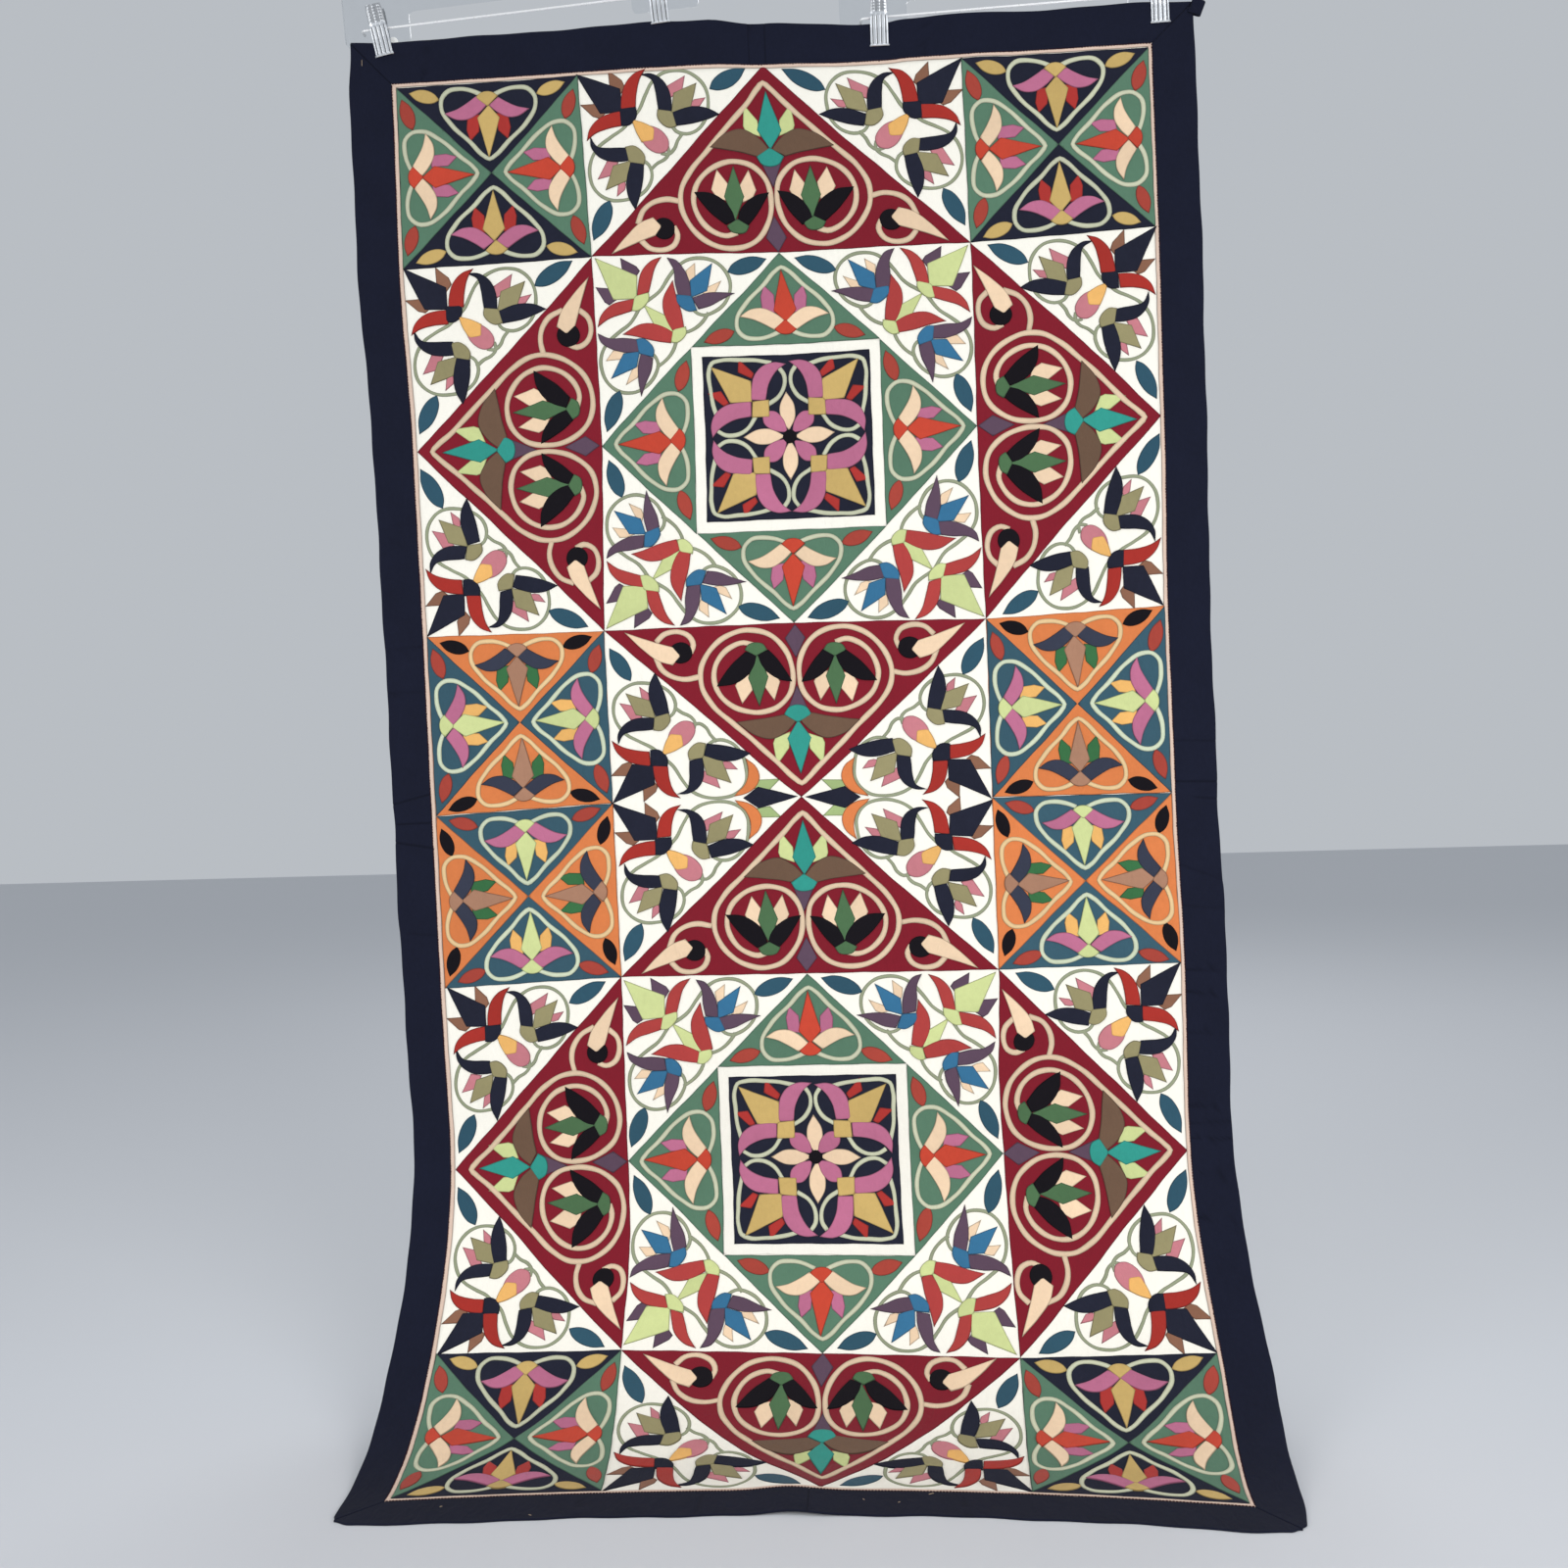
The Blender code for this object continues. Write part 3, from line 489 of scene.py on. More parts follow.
    def middle(self, s: np.ndarray, t: np.ndarray) -> np.ndarray:
        """The middle of the cloth with its folds."""
        return self.plain(s, t) + self.facing(self.plain, s, t) * self.fold_height(s, t)[:, None]

    def place(self, flat: np.ndarray, heights: np.ndarray) -> np.ndarray:
        """Points over the cloth.

        Args:
            flat: Rows of flat x and y.
            heights: Height of each over the middle of the cloth.

        Returns:
            Rows of x, y and z in the frame of the solids.
        """
        s, t = flat[:, 0], -flat[:, 1]
        return self.middle(s, t) + self.facing(self.middle, s, t) * heights[:, None]

    def strip_size(self, name: str) -> Point:
        """Mean width and mean length of a border strip laid flat, between its mitred ends.

        Args:
            name: Which strip it is.

        Returns:
            Its width and its length.
        """
        left, right = sum(self.border_left) / 2, sum(self.border_right) / 2
        down = self.height + 2 * self.edging + (self.border_top + self.border_bottom) / 2
        across = self.width + 2 * self.edging + (left + right) / 2
        sizes = {
            "border_left": (left, down),
            "border_right": (right, down),
            "border_top": (self.border_top, across),
            "border_bottom": (self.border_bottom, across),
        }
        return sizes[name]

    def border_width(self, side: int, t: np.ndarray) -> np.ndarray:
        """Width of a side border at t down."""
        start, end = self.border_left if side < 0 else self.border_right
        return start + (end - start) * np.clip(t / self.height, 0.0, 1.0)


@dataclass(frozen=True)
class Cell:
    """A square frame on the pattern, in blocks: its origin and the directions of its own x and y."""

    origin: Point
    right: Point
    up: Point

    def blocks(self, points: np.ndarray) -> np.ndarray:
        """Rows of u and v of points given in the cell."""
        right, up = np.array(self.right), np.array(self.up)
        return np.array(self.origin) + points[:, :1] * right + points[:, 1:] * up

    def turned(self, origin: Point, towards: Point) -> Cell:
        """A cell inside this one, its y pointing towards a direction.

        Args:
            origin: Its origin, in this cell.
            towards: The direction, in this cell.

        Returns:
            The new cell.
        """
        length = math.hypot(*towards)
        ax, ay = towards[0] / length, towards[1] / length
        start = self.blocks(np.array([origin]))[0]
        right, up = np.array(self.right), np.array(self.up)
        return Cell(tuple(start), tuple(ay * right - ax * up), tuple(ax * right + ay * up))

    def moved(self, by: Point) -> Cell:
        """The same cell moved, in its own x and y."""
        return Cell(tuple(self.blocks(np.array([by]))[0]), self.right, self.up)

    def mirrored(self) -> Cell:
        """The same cell with its x turned round."""
        return Cell(self.origin, (-self.right[0], -self.right[1]), self.up)

    def swapped(self) -> Cell:
        """The same cell seen over its diagonal."""
        return Cell(self.origin, self.up, self.right)


def eased(points: np.ndarray, closed: bool, step: float) -> np.ndarray:
    """A smooth line through points.

    Args:
        points: Rows of x and y.
        closed: Whether the line returns to its start.
        step: Length between the points of the result, in the points' own units.

    Returns:
        Rows of x and y; a closed line's start isn't repeated.
    """
    count = len(points)
    ahead = np.roll(points, -1, axis=0) - points
    lengths = np.maximum(np.linalg.norm(ahead, axis=1), 1e-9)
    slopes = ahead / lengths[:, None]
    before, before_length = np.roll(slopes, 1, axis=0), np.roll(lengths, 1)
    tangents = before * lengths[:, None] + slopes * before_length[:, None]
    tangents /= (lengths + before_length)[:, None]
    if not closed:
        tangents[0], tangents[-1] = slopes[0], slopes[-2]
    found = []
    for index in range(count if closed else count - 1):
        after = (index + 1) % count
        pieces = max(1, round(lengths[index] / step))
        part = (np.arange(pieces) / pieces)[:, None]
        span = lengths[index]
        start_share = 2 * part**3 - 3 * part**2 + 1
        line = start_share * points[index] + (1 - start_share) * points[after]
        line = line + (part**3 - 2 * part**2 + part) * span * tangents[index]
        line = line + (part**3 - part**2) * span * tangents[after]
        found.append(line)
    if not closed:
        found.append(points[-1:])
    return np.concatenate(found)


def cornered(points: Points, sharp: Corners, step: float = 0.014) -> np.ndarray:
    """A closed outline that is smooth but for its sharp corners.

    Args:
        points: The points that it runs through.
        sharp: Which of them are sharp.
        step: Length between the points of the result.

    Returns:
        Rows of x and y.
    """
    rows = np.array(points, float)
    if not sharp:
        return eased(rows, True, step)
    rows = np.roll(rows, -sharp[0], axis=0)
    corners = [index - sharp[0] for index in sharp] + [len(rows)]
    rows = np.concatenate([rows, rows[:1]])
    runs = [eased(rows[a : b + 1], False, step)[:-1] for a, b in zip(corners, corners[1:])]
    return np.concatenate(runs)


@dataclass
class Piece:
    """The growing mesh of one joined piece, in flat places with heights."""

    flats: list[np.ndarray] = field(default_factory=list)
    heights: list[np.ndarray] = field(default_factory=list)
    edges: list[np.ndarray] = field(default_factory=list)
    tones: list[np.ndarray] = field(default_factory=list)
    faces: list[tuple[int, ...]] = field(default_factory=list)
    count: int = 0

    def add(self, flat: np.ndarray, height: np.ndarray, edge: np.ndarray, tone: float, faces: list) -> None:
        """Adds one part whose faces count from its own first point.

        Args:
            flat: Rows of flat x and y.
            height: Height of each over the middle of the cloth.
            edge: How much painted shade, with some dirt, each gets at turned edges, seams and creases.
            tone: The part's own shade, 0 to 1.
            faces: Its faces.
        """
        self.flats.append(flat)
        self.heights.append(height)
        self.edges.append(edge)
        self.tones.append(np.full(len(flat), tone))
        self.faces += [tuple(int(index) + self.count for index in face) for face in faces]
        self.count += len(flat)

    def build(self, name: str, cloth: Cloth, material: bpy.types.Material) -> bpy.types.Object:
        """Makes the object, with its flat places as a UV map and its edge and tone as attributes.

        Args:
            name: Its name.
            cloth: The cloth that it lies on.
            material: What it is made of.

        Returns:
            The object.
        """
        flat, height = np.concatenate(self.flats), np.concatenate(self.heights)
        points = cloth.place(flat, height)
        mesh = bpy.data.meshes.new(name)
        mesh.from_pydata(points.tolist(), [], self.faces)
        corners = np.empty(len(mesh.loops), np.int32)
        mesh.loops.foreach_get("vertex_index", corners)
        mesh.uv_layers.new(name="cloth").data.foreach_set("uv", flat[corners].astype(np.float32).ravel())
        # The edge attribute carries the painted shade, with some dirt, that the material darkens by.
        for label, values in (("edge", self.edges), ("tone", self.tones)):
            layer = mesh.attributes.new(label, "FLOAT", "POINT")
            layer.data.foreach_set("value", np.concatenate(values).astype(np.float32))
        mesh.polygons.foreach_set("use_smooth", np.ones(len(mesh.polygons), bool))
        mesh.materials.append(material)
        mesh.update()
        made = bpy.data.objects.new(name, mesh)
        bpy.context.scene.collection.objects.link(made)
        return made


@dataclass
class Needlework:
    """Cuts and sews patches and strips on the cloth, and keeps one joined piece for each dye.

    The rounding is a patch's height at its rim, its turned edge, its crest and well inside. The strip section
    gives, for each point round a strip, its place in widths, its height in rises and how much painted shade
    it gets.
    """

    cloth: Cloth
    work: dict[tuple[Dye, str], Piece] = field(default_factory=dict)
    chance: np.random.Generator = field(default_factory=lambda: np.random.default_rng(SEED))
    turned_edge: float = 0.00045
    crest: float = 0.0013
    sunk: float = 0.0003
    edge_share: float = 0.65
    fill_step: float = 0.012
    rounding: tuple[float, ...] = (0.55, 0.9, 1.0, 0.92)
    patch_waver: float = 0.0004
    strip_waver: float = 0.0006
    strip_step: float = 0.017
    strip_wander: float = 0.07
    turn_spread: float = 0.022
    size_spread: float = 0.02
    shift_spread: float = 0.0006
    wave_reaches: Point = (0.034, 0.013)
    wave_share: float = 0.4
    strip_section: tuple[Triple, ...] = (
        (-0.5, 0.0, 1.0), (-0.5, 0.5, 0.9), (-0.36, 0.92, 0.25), (0.0, 1.0, 0.0),
        (0.36, 0.92, 0.25), (0.5, 0.5, 0.9), (0.5, 0.0, 1.0),
    )

    def piece(self, dye: Dye, kind: str) -> Piece:
        """The joined piece of one dye and kind."""
        return self.work.setdefault((dye, kind), Piece())

    def by_hand(self, flat: np.ndarray, waver: float, loose: float) -> np.ndarray:
        """Moves an outline as hand cutting does: a slight turn, shift and size, and wavering sides.

        Args:
            flat: The outline in flat metres.
            waver: How far its sides waver.
            loose: How freely the whole is turned, moved and sized, 0 for not at all.

        Returns:
            The moved outline.
        """
        middle = flat.mean(axis=0)
        turn = self.chance.normal(0, self.turn_spread) * loose
        size = 1 + self.chance.normal(0, self.size_spread) * loose
        shift = self.chance.normal(0, self.shift_spread, 2) * loose
        rotation = np.array([[math.cos(turn), -math.sin(turn)], [math.sin(turn), math.cos(turn)]])
        moved = (flat - middle) @ rotation.T * size + middle + shift
        for reach in self.wave_reaches:
            phase = self.chance.uniform(0, math.tau, 4)
            x, y = flat.T / reach
            wave_x = np.sin(y * math.pi + phase[0]) + np.sin(x + phase[1])
            wave_y = np.sin(x * math.pi + phase[2]) + np.sin(y + phase[3])
            moved = moved + np.column_stack([wave_x, wave_y]) * waver * self.wave_share
            waver *= self.wave_share
        return moved

    @staticmethod
    def distances(points: np.ndarray, ring: np.ndarray) -> tuple[np.ndarray, np.ndarray]:
        """How points lie to a closed outline.

        Args:
            points: Rows of x and y.
            ring: The outline.

        Returns:
            Their distances to it, and whether each lies inside it.
        """
        start, end = ring, np.roll(ring, -1, axis=0)
        way = end - start
        lengths = np.maximum((way**2).sum(axis=1), 1e-18)
        off = points[:, None, :] - start[None]
        part = np.clip((off * way[None]).sum(axis=2) / lengths, 0, 1)
        gaps = np.linalg.norm(off - part[:, :, None] * way[None], axis=2).min(axis=1)
        py = points[:, 1][:, None]
        crosses = (start[None, :, 1] > py) != (end[None, :, 1] > py)
        rise = np.where(np.abs(way[:, 1]) < 1e-12, 1e-12, way[:, 1])
        at = start[None, :, 0] + (py - start[None, :, 1]) / rise[None] * way[None, :, 0]
        return gaps, (crosses & (points[:, 0][:, None] < at)).sum(axis=1) % 2 == 1

    @staticmethod
    def net(ring: np.ndarray, extra: np.ndarray) -> tuple[np.ndarray, list[tuple[int, ...]]]:
        """Triangles that fill an outline, through extra points inside it.

        Args:
            ring: The outline, running anticlockwise as seen.
            extra: Points inside it.

        Returns:
            All the points, the outline's first, and the triangles.
        """
        points = np.concatenate([ring, extra])
        millimetres = (points - ring.mean(axis=0)) * 1000
        sides = [(i, (i + 1) % len(ring)) for i in range(len(ring))]
        found = delaunay_2d_cdt([Vector(row) for row in millimetres.tolist()], sides, [], 1, 1e-5)
        first = [min(ids) if ids else -1 for ids in found[3]]
        triangles = []
        for face in found[2]:
            ids = [first[index] for index in face]
            if -1 in ids or len(set(ids)) < 3:
                continue
            a, b, c = (points[index] for index in ids)
            turn = (b[0] - a[0]) * (c[1] - a[1]) - (c[0] - a[0]) * (b[1] - a[1])
            triangles.append(tuple(ids) if turn > 0 else (ids[0], ids[2], ids[1]))
        return points, triangles

    def patch(self, dye: Dye, flat: np.ndarray, base: float, rise: float, kind: str = "petals") -> None:
        """Sews one patch: a closed thin solid whose turned-under edge is rounded.

        Args:
            dye: Its colour.
            flat: Its outline in flat metres.
            base: Height of what it lies on.
            rise: How far it stands above that.
            kind: Which joined piece it belongs to.
        """
        after = np.roll(flat, -1, axis=0)
        anticlockwise = float((flat[:, 0] * after[:, 1] - after[:, 0] * flat[:, 1]).sum()) > 0
        ring = flat if anticlockwise else flat[::-1]
        way = np.roll(ring, -1, axis=0) - np.roll(ring, 1, axis=0)
        way /= np.maximum(np.linalg.norm(way, axis=1, keepdims=True), 1e-9)
        inward = np.column_stack([-way[:, 1], way[:, 0]])
        low, high = ring.min(axis=0), ring.max(axis=0)
        xs, ys = (np.arange(low[axis] + self.fill_step / 2, high[axis], self.fill_step) for axis in (0, 1))
        grid = np.array([(x, y) for x in xs for y in ys]).reshape(-1, 2)
        near, far = ring + inward * self.turned_edge, ring + inward * self.crest
        kept = []
        for rows, least in ((near, self.turned_edge * 0.85), (far, self.crest * 0.9), (grid, self.crest * 2)):
            gaps, inside = self.distances(rows, ring)
            kept.append(rows[inside & (gaps >= least)])
        points, triangles = self.net(ring, np.concatenate(kept))
        back_points, back = self.net(ring, kept[-1])
        gaps, _ = self.distances(points, ring)
        count, size = len(points), len(ring)
        gaps[:size] = 0.0
        profile = np.interp(gaps, [0, self.turned_edge, self.crest, 3 * self.crest], self.rounding)
        # Painted shade, with some dirt, at the rim and the turned edge, fading to none at the crest.
        edge = np.interp(gaps, [0, self.turned_edge * 0.9, self.crest], [1.0, self.edge_share, 0.0])
        walls = [(count + i, count + (i + 1) % size, (i + 1) % size, i) for i in range(size)]
        under = [(a + count, c + count, b + count) for a, b, c in back]
        flats = np.concatenate([points, back_points])
        heights = np.concatenate([base + rise * profile, np.full(len(back_points), base - self.sunk)])
        edges = np.concatenate([edge, np.ones(len(back_points))])
        tone = float(self.chance.uniform(0, 1))
        self.piece(dye, kind).add(flats, heights, edges, tone, triangles + walls + under)

    def strip(
        self, dye: Dye, line: np.ndarray, width: float, base: float, rise: float, kind: str = "strips"
    ) -> None:
        """Sews one narrow folded strip along a line, as a closed tube with a flat back.

        Args:
            dye: Its colour.
            line: Its middle line in flat metres.
            width: Its width.
            base: Height of what it lies on.
            rise: How far it stands above that.
            kind: Which joined piece it belongs to.
        """
        ahead = np.roll(line, -1, axis=0) - np.roll(line, 1, axis=0)
        ahead[0], ahead[-1] = line[1] - line[0], line[-1] - line[-2]
        ahead /= np.maximum(np.linalg.norm(ahead, axis=1, keepdims=True), 1e-9)
        left = np.column_stack([-ahead[:, 1], ahead[:, 0]])
        count, section = len(line), self.strip_section
        wander = 1 + self.strip_wander * np.sin(np.arange(count) * 0.55 + self.chance.uniform(0, 6))
        flats = np.concatenate([line + left * (across * width) * wander[:, None] for across, _, _ in section])
        heights = np.repeat([base + rise * up if up else base - self.sunk for _, up, _ in section], count)
        # The section's last column is painted shade on the strip's sides and foot.
        edges = np.repeat([dark for _, _, dark in section], count)
        starts = [k * count for k in range(len(section))]
        faces: list[tuple[int, ...]] = []
        for low, high in zip(starts, starts[1:] + starts[:1]):
            faces += [(low + j, low + j + 1, high + j + 1, high + j) for j in range(count - 1)]
        faces += [tuple(starts), tuple(start + count - 1 for start in reversed(starts))]
        self.piece(dye, kind).add(flats, heights, edges, float(self.chance.uniform(0, 1)), faces)

    def sew(self, dye: Dye, cell: Cell, points: Points, sharp: Corners, base: float, rise: float) -> None:
        """Cuts an outline and sews it.

        Args:
            dye: Its colour.
            cell: The cell that it is given in.
            points: The outline.
            sharp: Which of its points are sharp corners.
            base: Height of what it lies on.
            rise: How far it stands above that.
        """
        flat = self.cloth.flat(cell.blocks(cornered(points, sharp)))
        self.patch(dye, self.by_hand(flat, self.patch_waver, 1.0), base, rise)

    def lay(self, dye: Dye, cell: Cell, points: Points, width: float, base: float, rise: float) -> None:
        """Lays a strip along a smooth line.

        Args:
            dye: Its colour.
            cell: The cell that it is given in.
            points: The points that the line runs through.
            width: Its width in metres.
            base: Height of what it lies on.
            rise: How far it stands above that.
        """
        line = self.cloth.flat(cell.blocks(eased(np.array(points, float), False, self.strip_step)))
        self.strip(dye, self.by_hand(line, self.strip_waver, 0.5), width, base, rise)


@dataclass(frozen=True)
class Levels:
    """Heights over the middle of the cloth that patches lie on, and how far each kind stands up."""

    ground: float = 0.0008
    first: float = 0.0018
    second: float = 0.0026
    block_rise: float = 0.0010
    stem_rise: float = 0.0006
    bract_rise: float = 0.0008
    leaf_rise: float = 0.0009
    strip_rise: float = 0.00105
    petal_rise: float = 0.0013
    wing_rise: float = 0.0016
    heart_rise: float = 0.0019


LEVELS = Levels()


@dataclass(frozen=True)
class LotusDyes:
    """The four dyes of one lotus."""

    petal: Dye
    base: Dye
    wing: Dye
    bract: Dye


@dataclass(frozen=True)
class Wing:
    """A lotus's side petal: its upper side out from the neck, its tip and its lower side back to the base."""

    upper: Points
    tip: Point
    lower: Points


@dataclass(frozen=True)
class Lotus:
    """A lotus in profile, in blocks from its neck, its long petal along y.

    The bracts are the small straight-sided petals on each side of the long one, given corner by corner.
    A left wing or bract that isn't given is the right one mirrored.
    """

    length: float
    half: float
    swell: float
    base_half: float
    base_drop: float
    base_depth: float
    right: Wing
    bract_right: Points = ()
    left: Wing | None = None
    bract_left: Points | None = None
    base_round: Point = (0.62, 0.88)

    def sew(self, work: Needlework, cell: Cell, dyes: LotusDyes, base: float) -> None:
        """Sews the flower: bracts and long petal first, then wings, then the base over all their roots.

        Args:
            work: The needlework to add to.
            cell: A cell whose origin is the neck.
            dyes: The flower's colours.
            base: Height of the cloth under it.
        """
        left = self.left or self.right
        bract_left = self.bract_right if self.bract_left is None else self.bract_left
        for frame, wing, bract in ((cell, self.right, self.bract_right), (cell.mirrored(), left, bract_left)):
            if bract:
                work.sew(dyes.bract, frame, bract, tuple(range(len(bract))), base, LEVELS.bract_rise)
            root = (self.base_half * 0.96, -self.base_drop * 1.04)
            outline = [(0.002, -0.006), *wing.upper, wing.tip, *wing.lower, root]
            corners = (0, 1 + len(wing.upper), len(outline) - 1)
            work.sew(dyes.wing, frame, outline, corners, base, LEVELS.wing_rise)
        middle = self.swell + (self.length - self.swell) * 0.45
        taper = self.half * 0.55
        petal = [(0.0, -0.01), (self.half, self.swell), (taper, middle), (0.0, self.length)]
        petal += [(-taper, middle), (-self.half, self.swell)]
        work.sew(dyes.petal, cell, petal, (0, 1, 3, 5), base, LEVELS.petal_rise)
        wide, deep = self.base_half * self.base_round[0], self.base_depth * self.base_round[1]
        foot = [(0.0, 0.006), (self.base_half, -self.base_drop), (wide, -deep), (0.0, -self.base_depth)]
        foot += [(-wide, -deep), (-self.base_half, -self.base_drop)]
        work.sew(dyes.base, cell, foot, (0, 1, 5), base, LEVELS.heart_rise)


def leaf(work: Needlework, dye: Dye, cell: Cell, root: Point, tip: Point, width: float, base: float) -> None:
    """Sews a leaf that is pointed at both ends.

    Args:
        work: The needlework to add to.
        dye: Its colour.
        cell: The cell that root and tip are given in.
        root: One end.
        tip: The other end.
        width: Its full width, in blocks.
        base: Height of the cloth under it.
    """
    way = (tip[0] - root[0], tip[1] - root[1])
    length = math.hypot(*way)
    side = (-way[1] / length * width / 2, way[0] / length * width / 2)
    shares = ((0.14, 0.6), (0.42, 1.0), (0.72, 0.8))
    upper, lower = (
        [tuple(root[axis] + way[axis] * a + side[axis] * w * sign for axis in (0, 1)) for a, w in row]
        for sign, row in ((1, shares), (-1, reversed(shares)))
    )
    work.sew(dye, cell, [root, *upper, tip, *lower], (0, 4), base, LEVELS.leaf_rise)


def circle(centre: Point, radius: float, count: int = 12) -> list[Point]:
    """Points round a circle."""
    turns = [math.tau * n / count for n in range(count)]
    return [(centre[0] + math.cos(turn) * radius, centre[1] + math.sin(turn) * radius) for turn in turns]


@dataclass(frozen=True)
class HeartDyes:
    """Dyes of a heart and what it holds."""

    line: Dye
    lotus: LotusDyes
    leaf: Dye


@dataclass(frozen=True)
class Heart:
    """A heart of one strip round a lotus, in a triangle one block wide and half a block high."""

    neck: float = 0.130
    strip_width: float = 0.0054
    leaf_root: Point = (0.262, 0.082)
    leaf_tip: Point = (0.43, 0.028)
    leaf_width: float = 0.074
    lotus: Lotus = Lotus(
        length=0.285, half=0.062, swell=0.062, base_half=0.062, base_drop=0.05, base_depth=0.08,
        right=Wing(
            ((0.05, 0.038), (0.11, 0.07), (0.172, 0.068)), (0.238, 0.03), ((0.17, 0.012), (0.112, -0.018))
        ),
        bract_right=((0.045, 0.045), (0.112, 0.055), (0.121, 0.13), (0.103, 0.192), (0.052, 0.14)),
    )
    line: Points = (
        (0.03, 0.07), (0.08, 0.048), (0.15, 0.034), (0.215, 0.042), (0.254, 0.085), (0.256, 0.14),
        (0.205, 0.228), (0.1, 0.332), (0.03, 0.405),
    )

    def sew(self, work: Needlework, cell: Cell, dyes: HeartDyes, base: float) -> None:
        """Sews the heart, its lotus and the two leaves beside it.

        Args:
            work: The needlework to add to.
            cell: The figure's cell.
            dyes: Its colours.
            base: Height of the cloth under it.
        """
        left = [(-x, y) for x, y in reversed(self.line)]
        line = [*self.line, (0.0, 0.423), *left]
        work.lay(dyes.line, cell, line, self.strip_width, base, LEVELS.strip_rise)
        self.lotus.sew(work, cell.turned((0.0, self.neck), (0.0, 1.0)), dyes.lotus, base)
        for frame in (cell, cell.mirrored()):
            leaf(work, dyes.leaf, frame, self.leaf_root, self.leaf_tip, self.leaf_width, base)


@dataclass(frozen=True)
class RedTriangle:
    """The dark red triangle: a pointed frame that curls into two rings, each round a lotus, and two buds."""

    strip_width: float = 0.0066
    apex: Point = (0.0, 0.908)
    curl: Points = (
        (-0.03, 0.882), (-0.095, 0.806), (-0.215, 0.683), (-0.338, 0.556), (-0.435, 0.452), (-0.49, 0.345),
        (-0.492, 0.25), (-0.452, 0.155), (-0.36, 0.065), (-0.245, 0.032), (-0.128, 0.062), (-0.046, 0.16),
        (-0.016, 0.295), (-0.036, 0.4), (-0.104, 0.474), (-0.2, 0.5), (-0.308, 0.474), (-0.396, 0.395),
        (-0.426, 0.3), (-0.402, 0.2), (-0.333, 0.126), (-0.262, 0.103), (-0.212, 0.118),
    )
    upper_hook: Points = (
        (-0.5, 0.285), (-0.57, 0.298), (-0.64, 0.284), (-0.7, 0.24), (-0.735, 0.165),
    )
    lower_hook: Points = (
        (-0.725, 0.08), (-0.68, 0.035), (-0.61, 0.024), (-0.55, 0.052), (-0.528, 0.105), (-0.545, 0.15),
    )
    drop: Points = (
        (-0.89, 0.014), (-0.8, 0.112), (-0.715, 0.184), (-0.645, 0.21), (-0.602, 0.158), (-0.64, 0.108),
        (-0.752, 0.068),
    )
    ball: Point = (-0.598, 0.146)
    ball_radius: float = 0.060
    ring_lotus: Lotus = Lotus(
        length=0.292, half=0.054, swell=0.125, base_half=0.06, base_drop=0.03, base_depth=0.074,
        right=Wing(
            ((0.016, 0.045), (0.056, 0.098), (0.118, 0.138)), (0.182, 0.15), ((0.15, 0.092), (0.106, 0.024))
        ),
        bract_right=((0.04, 0.09), (0.095, 0.115), (0.116, 0.156), (0.082, 0.268), (0.028, 0.18)),
        left=Wing(
            ((0.016, 0.045), (0.06, 0.108), (0.13, 0.15)), (0.222, 0.158), ((0.19, 0.108), (0.136, 0.038))
        ),
        bract_left=((0.04, 0.1), (0.095, 0.115), (0.124, 0.166), (0.086, 0.276), (0.03, 0.195)),
    )
    top_lotus: Lotus = Lotus(
        length=0.298, half=0.064, swell=0.094, base_half=0.072, base_drop=0.044, base_depth=0.098,
        right=Wing(
            ((0.06, 0.058), (0.14, 0.098), (0.228, 0.076)), (0.33, -0.008), ((0.235, -0.018), (0.142, -0.03))
        ),
        bract_right=((0.045, 0.06), (0.125, 0.09), (0.135, 0.118), (0.122, 0.234), (0.054, 0.148)),
    )

    def sew(self, work: Needlework, cell: Cell) -> None:
        """Sews one triangle's whole figure, the same on both halves.

        Args:
            work: The needlework to add to.
            cell: The figure's cell.
        """
        base = LEVELS.first
        upper = [(0.058, 0.5), (0.0, 0.352), (-0.058, 0.5), (0.0, 0.52)]
        lower = [(0.0, 0.205), (0.056, 0.085), (0.0, 0.004), (-0.056, 0.085)]
        for points in (upper, lower):
            work.sew(Dye.PLUM, cell, points, (0, 1, 2, 3), base, LEVELS.bract_rise)
        other = [(-x, y) for x, y in self.curl]
        curls = [*self.curl[::-1], self.apex, *other]
        work.lay(Dye.TAN, cell, curls, self.strip_width, base, LEVELS.strip_rise)
        for frame in (cell, cell.mirrored()):
            for hook in (self.upper_hook, self.lower_hook):
                work.lay(Dye.TAN, frame, hook, self.strip_width, base, LEVELS.leaf_rise)
            work.sew(Dye.BLACK, frame, circle(self.ball, self.ball_radius), (), base, LEVELS.petal_rise)
            work.sew(Dye.PEACH, frame, self.drop, (0, 3, 4, 5), base, LEVELS.wing_rise)
            dyes = LotusDyes(Dye.MOSS, Dye.MOSS, Dye.BLACK, Dye.PEACH)
            self.ring_lotus.sew(work, frame.turned((-0.203, 0.182), (0.0, 1.0)), dyes, base)
        dyes = LotusDyes(Dye.TURQUOISE, Dye.TURQUOISE, Dye.WING_BROWN, Dye.LEAF_GREEN)
        self.top_lotus.sew(work, cell.turned((0.0, 0.566), (0.0, 1.0)), dyes, base)


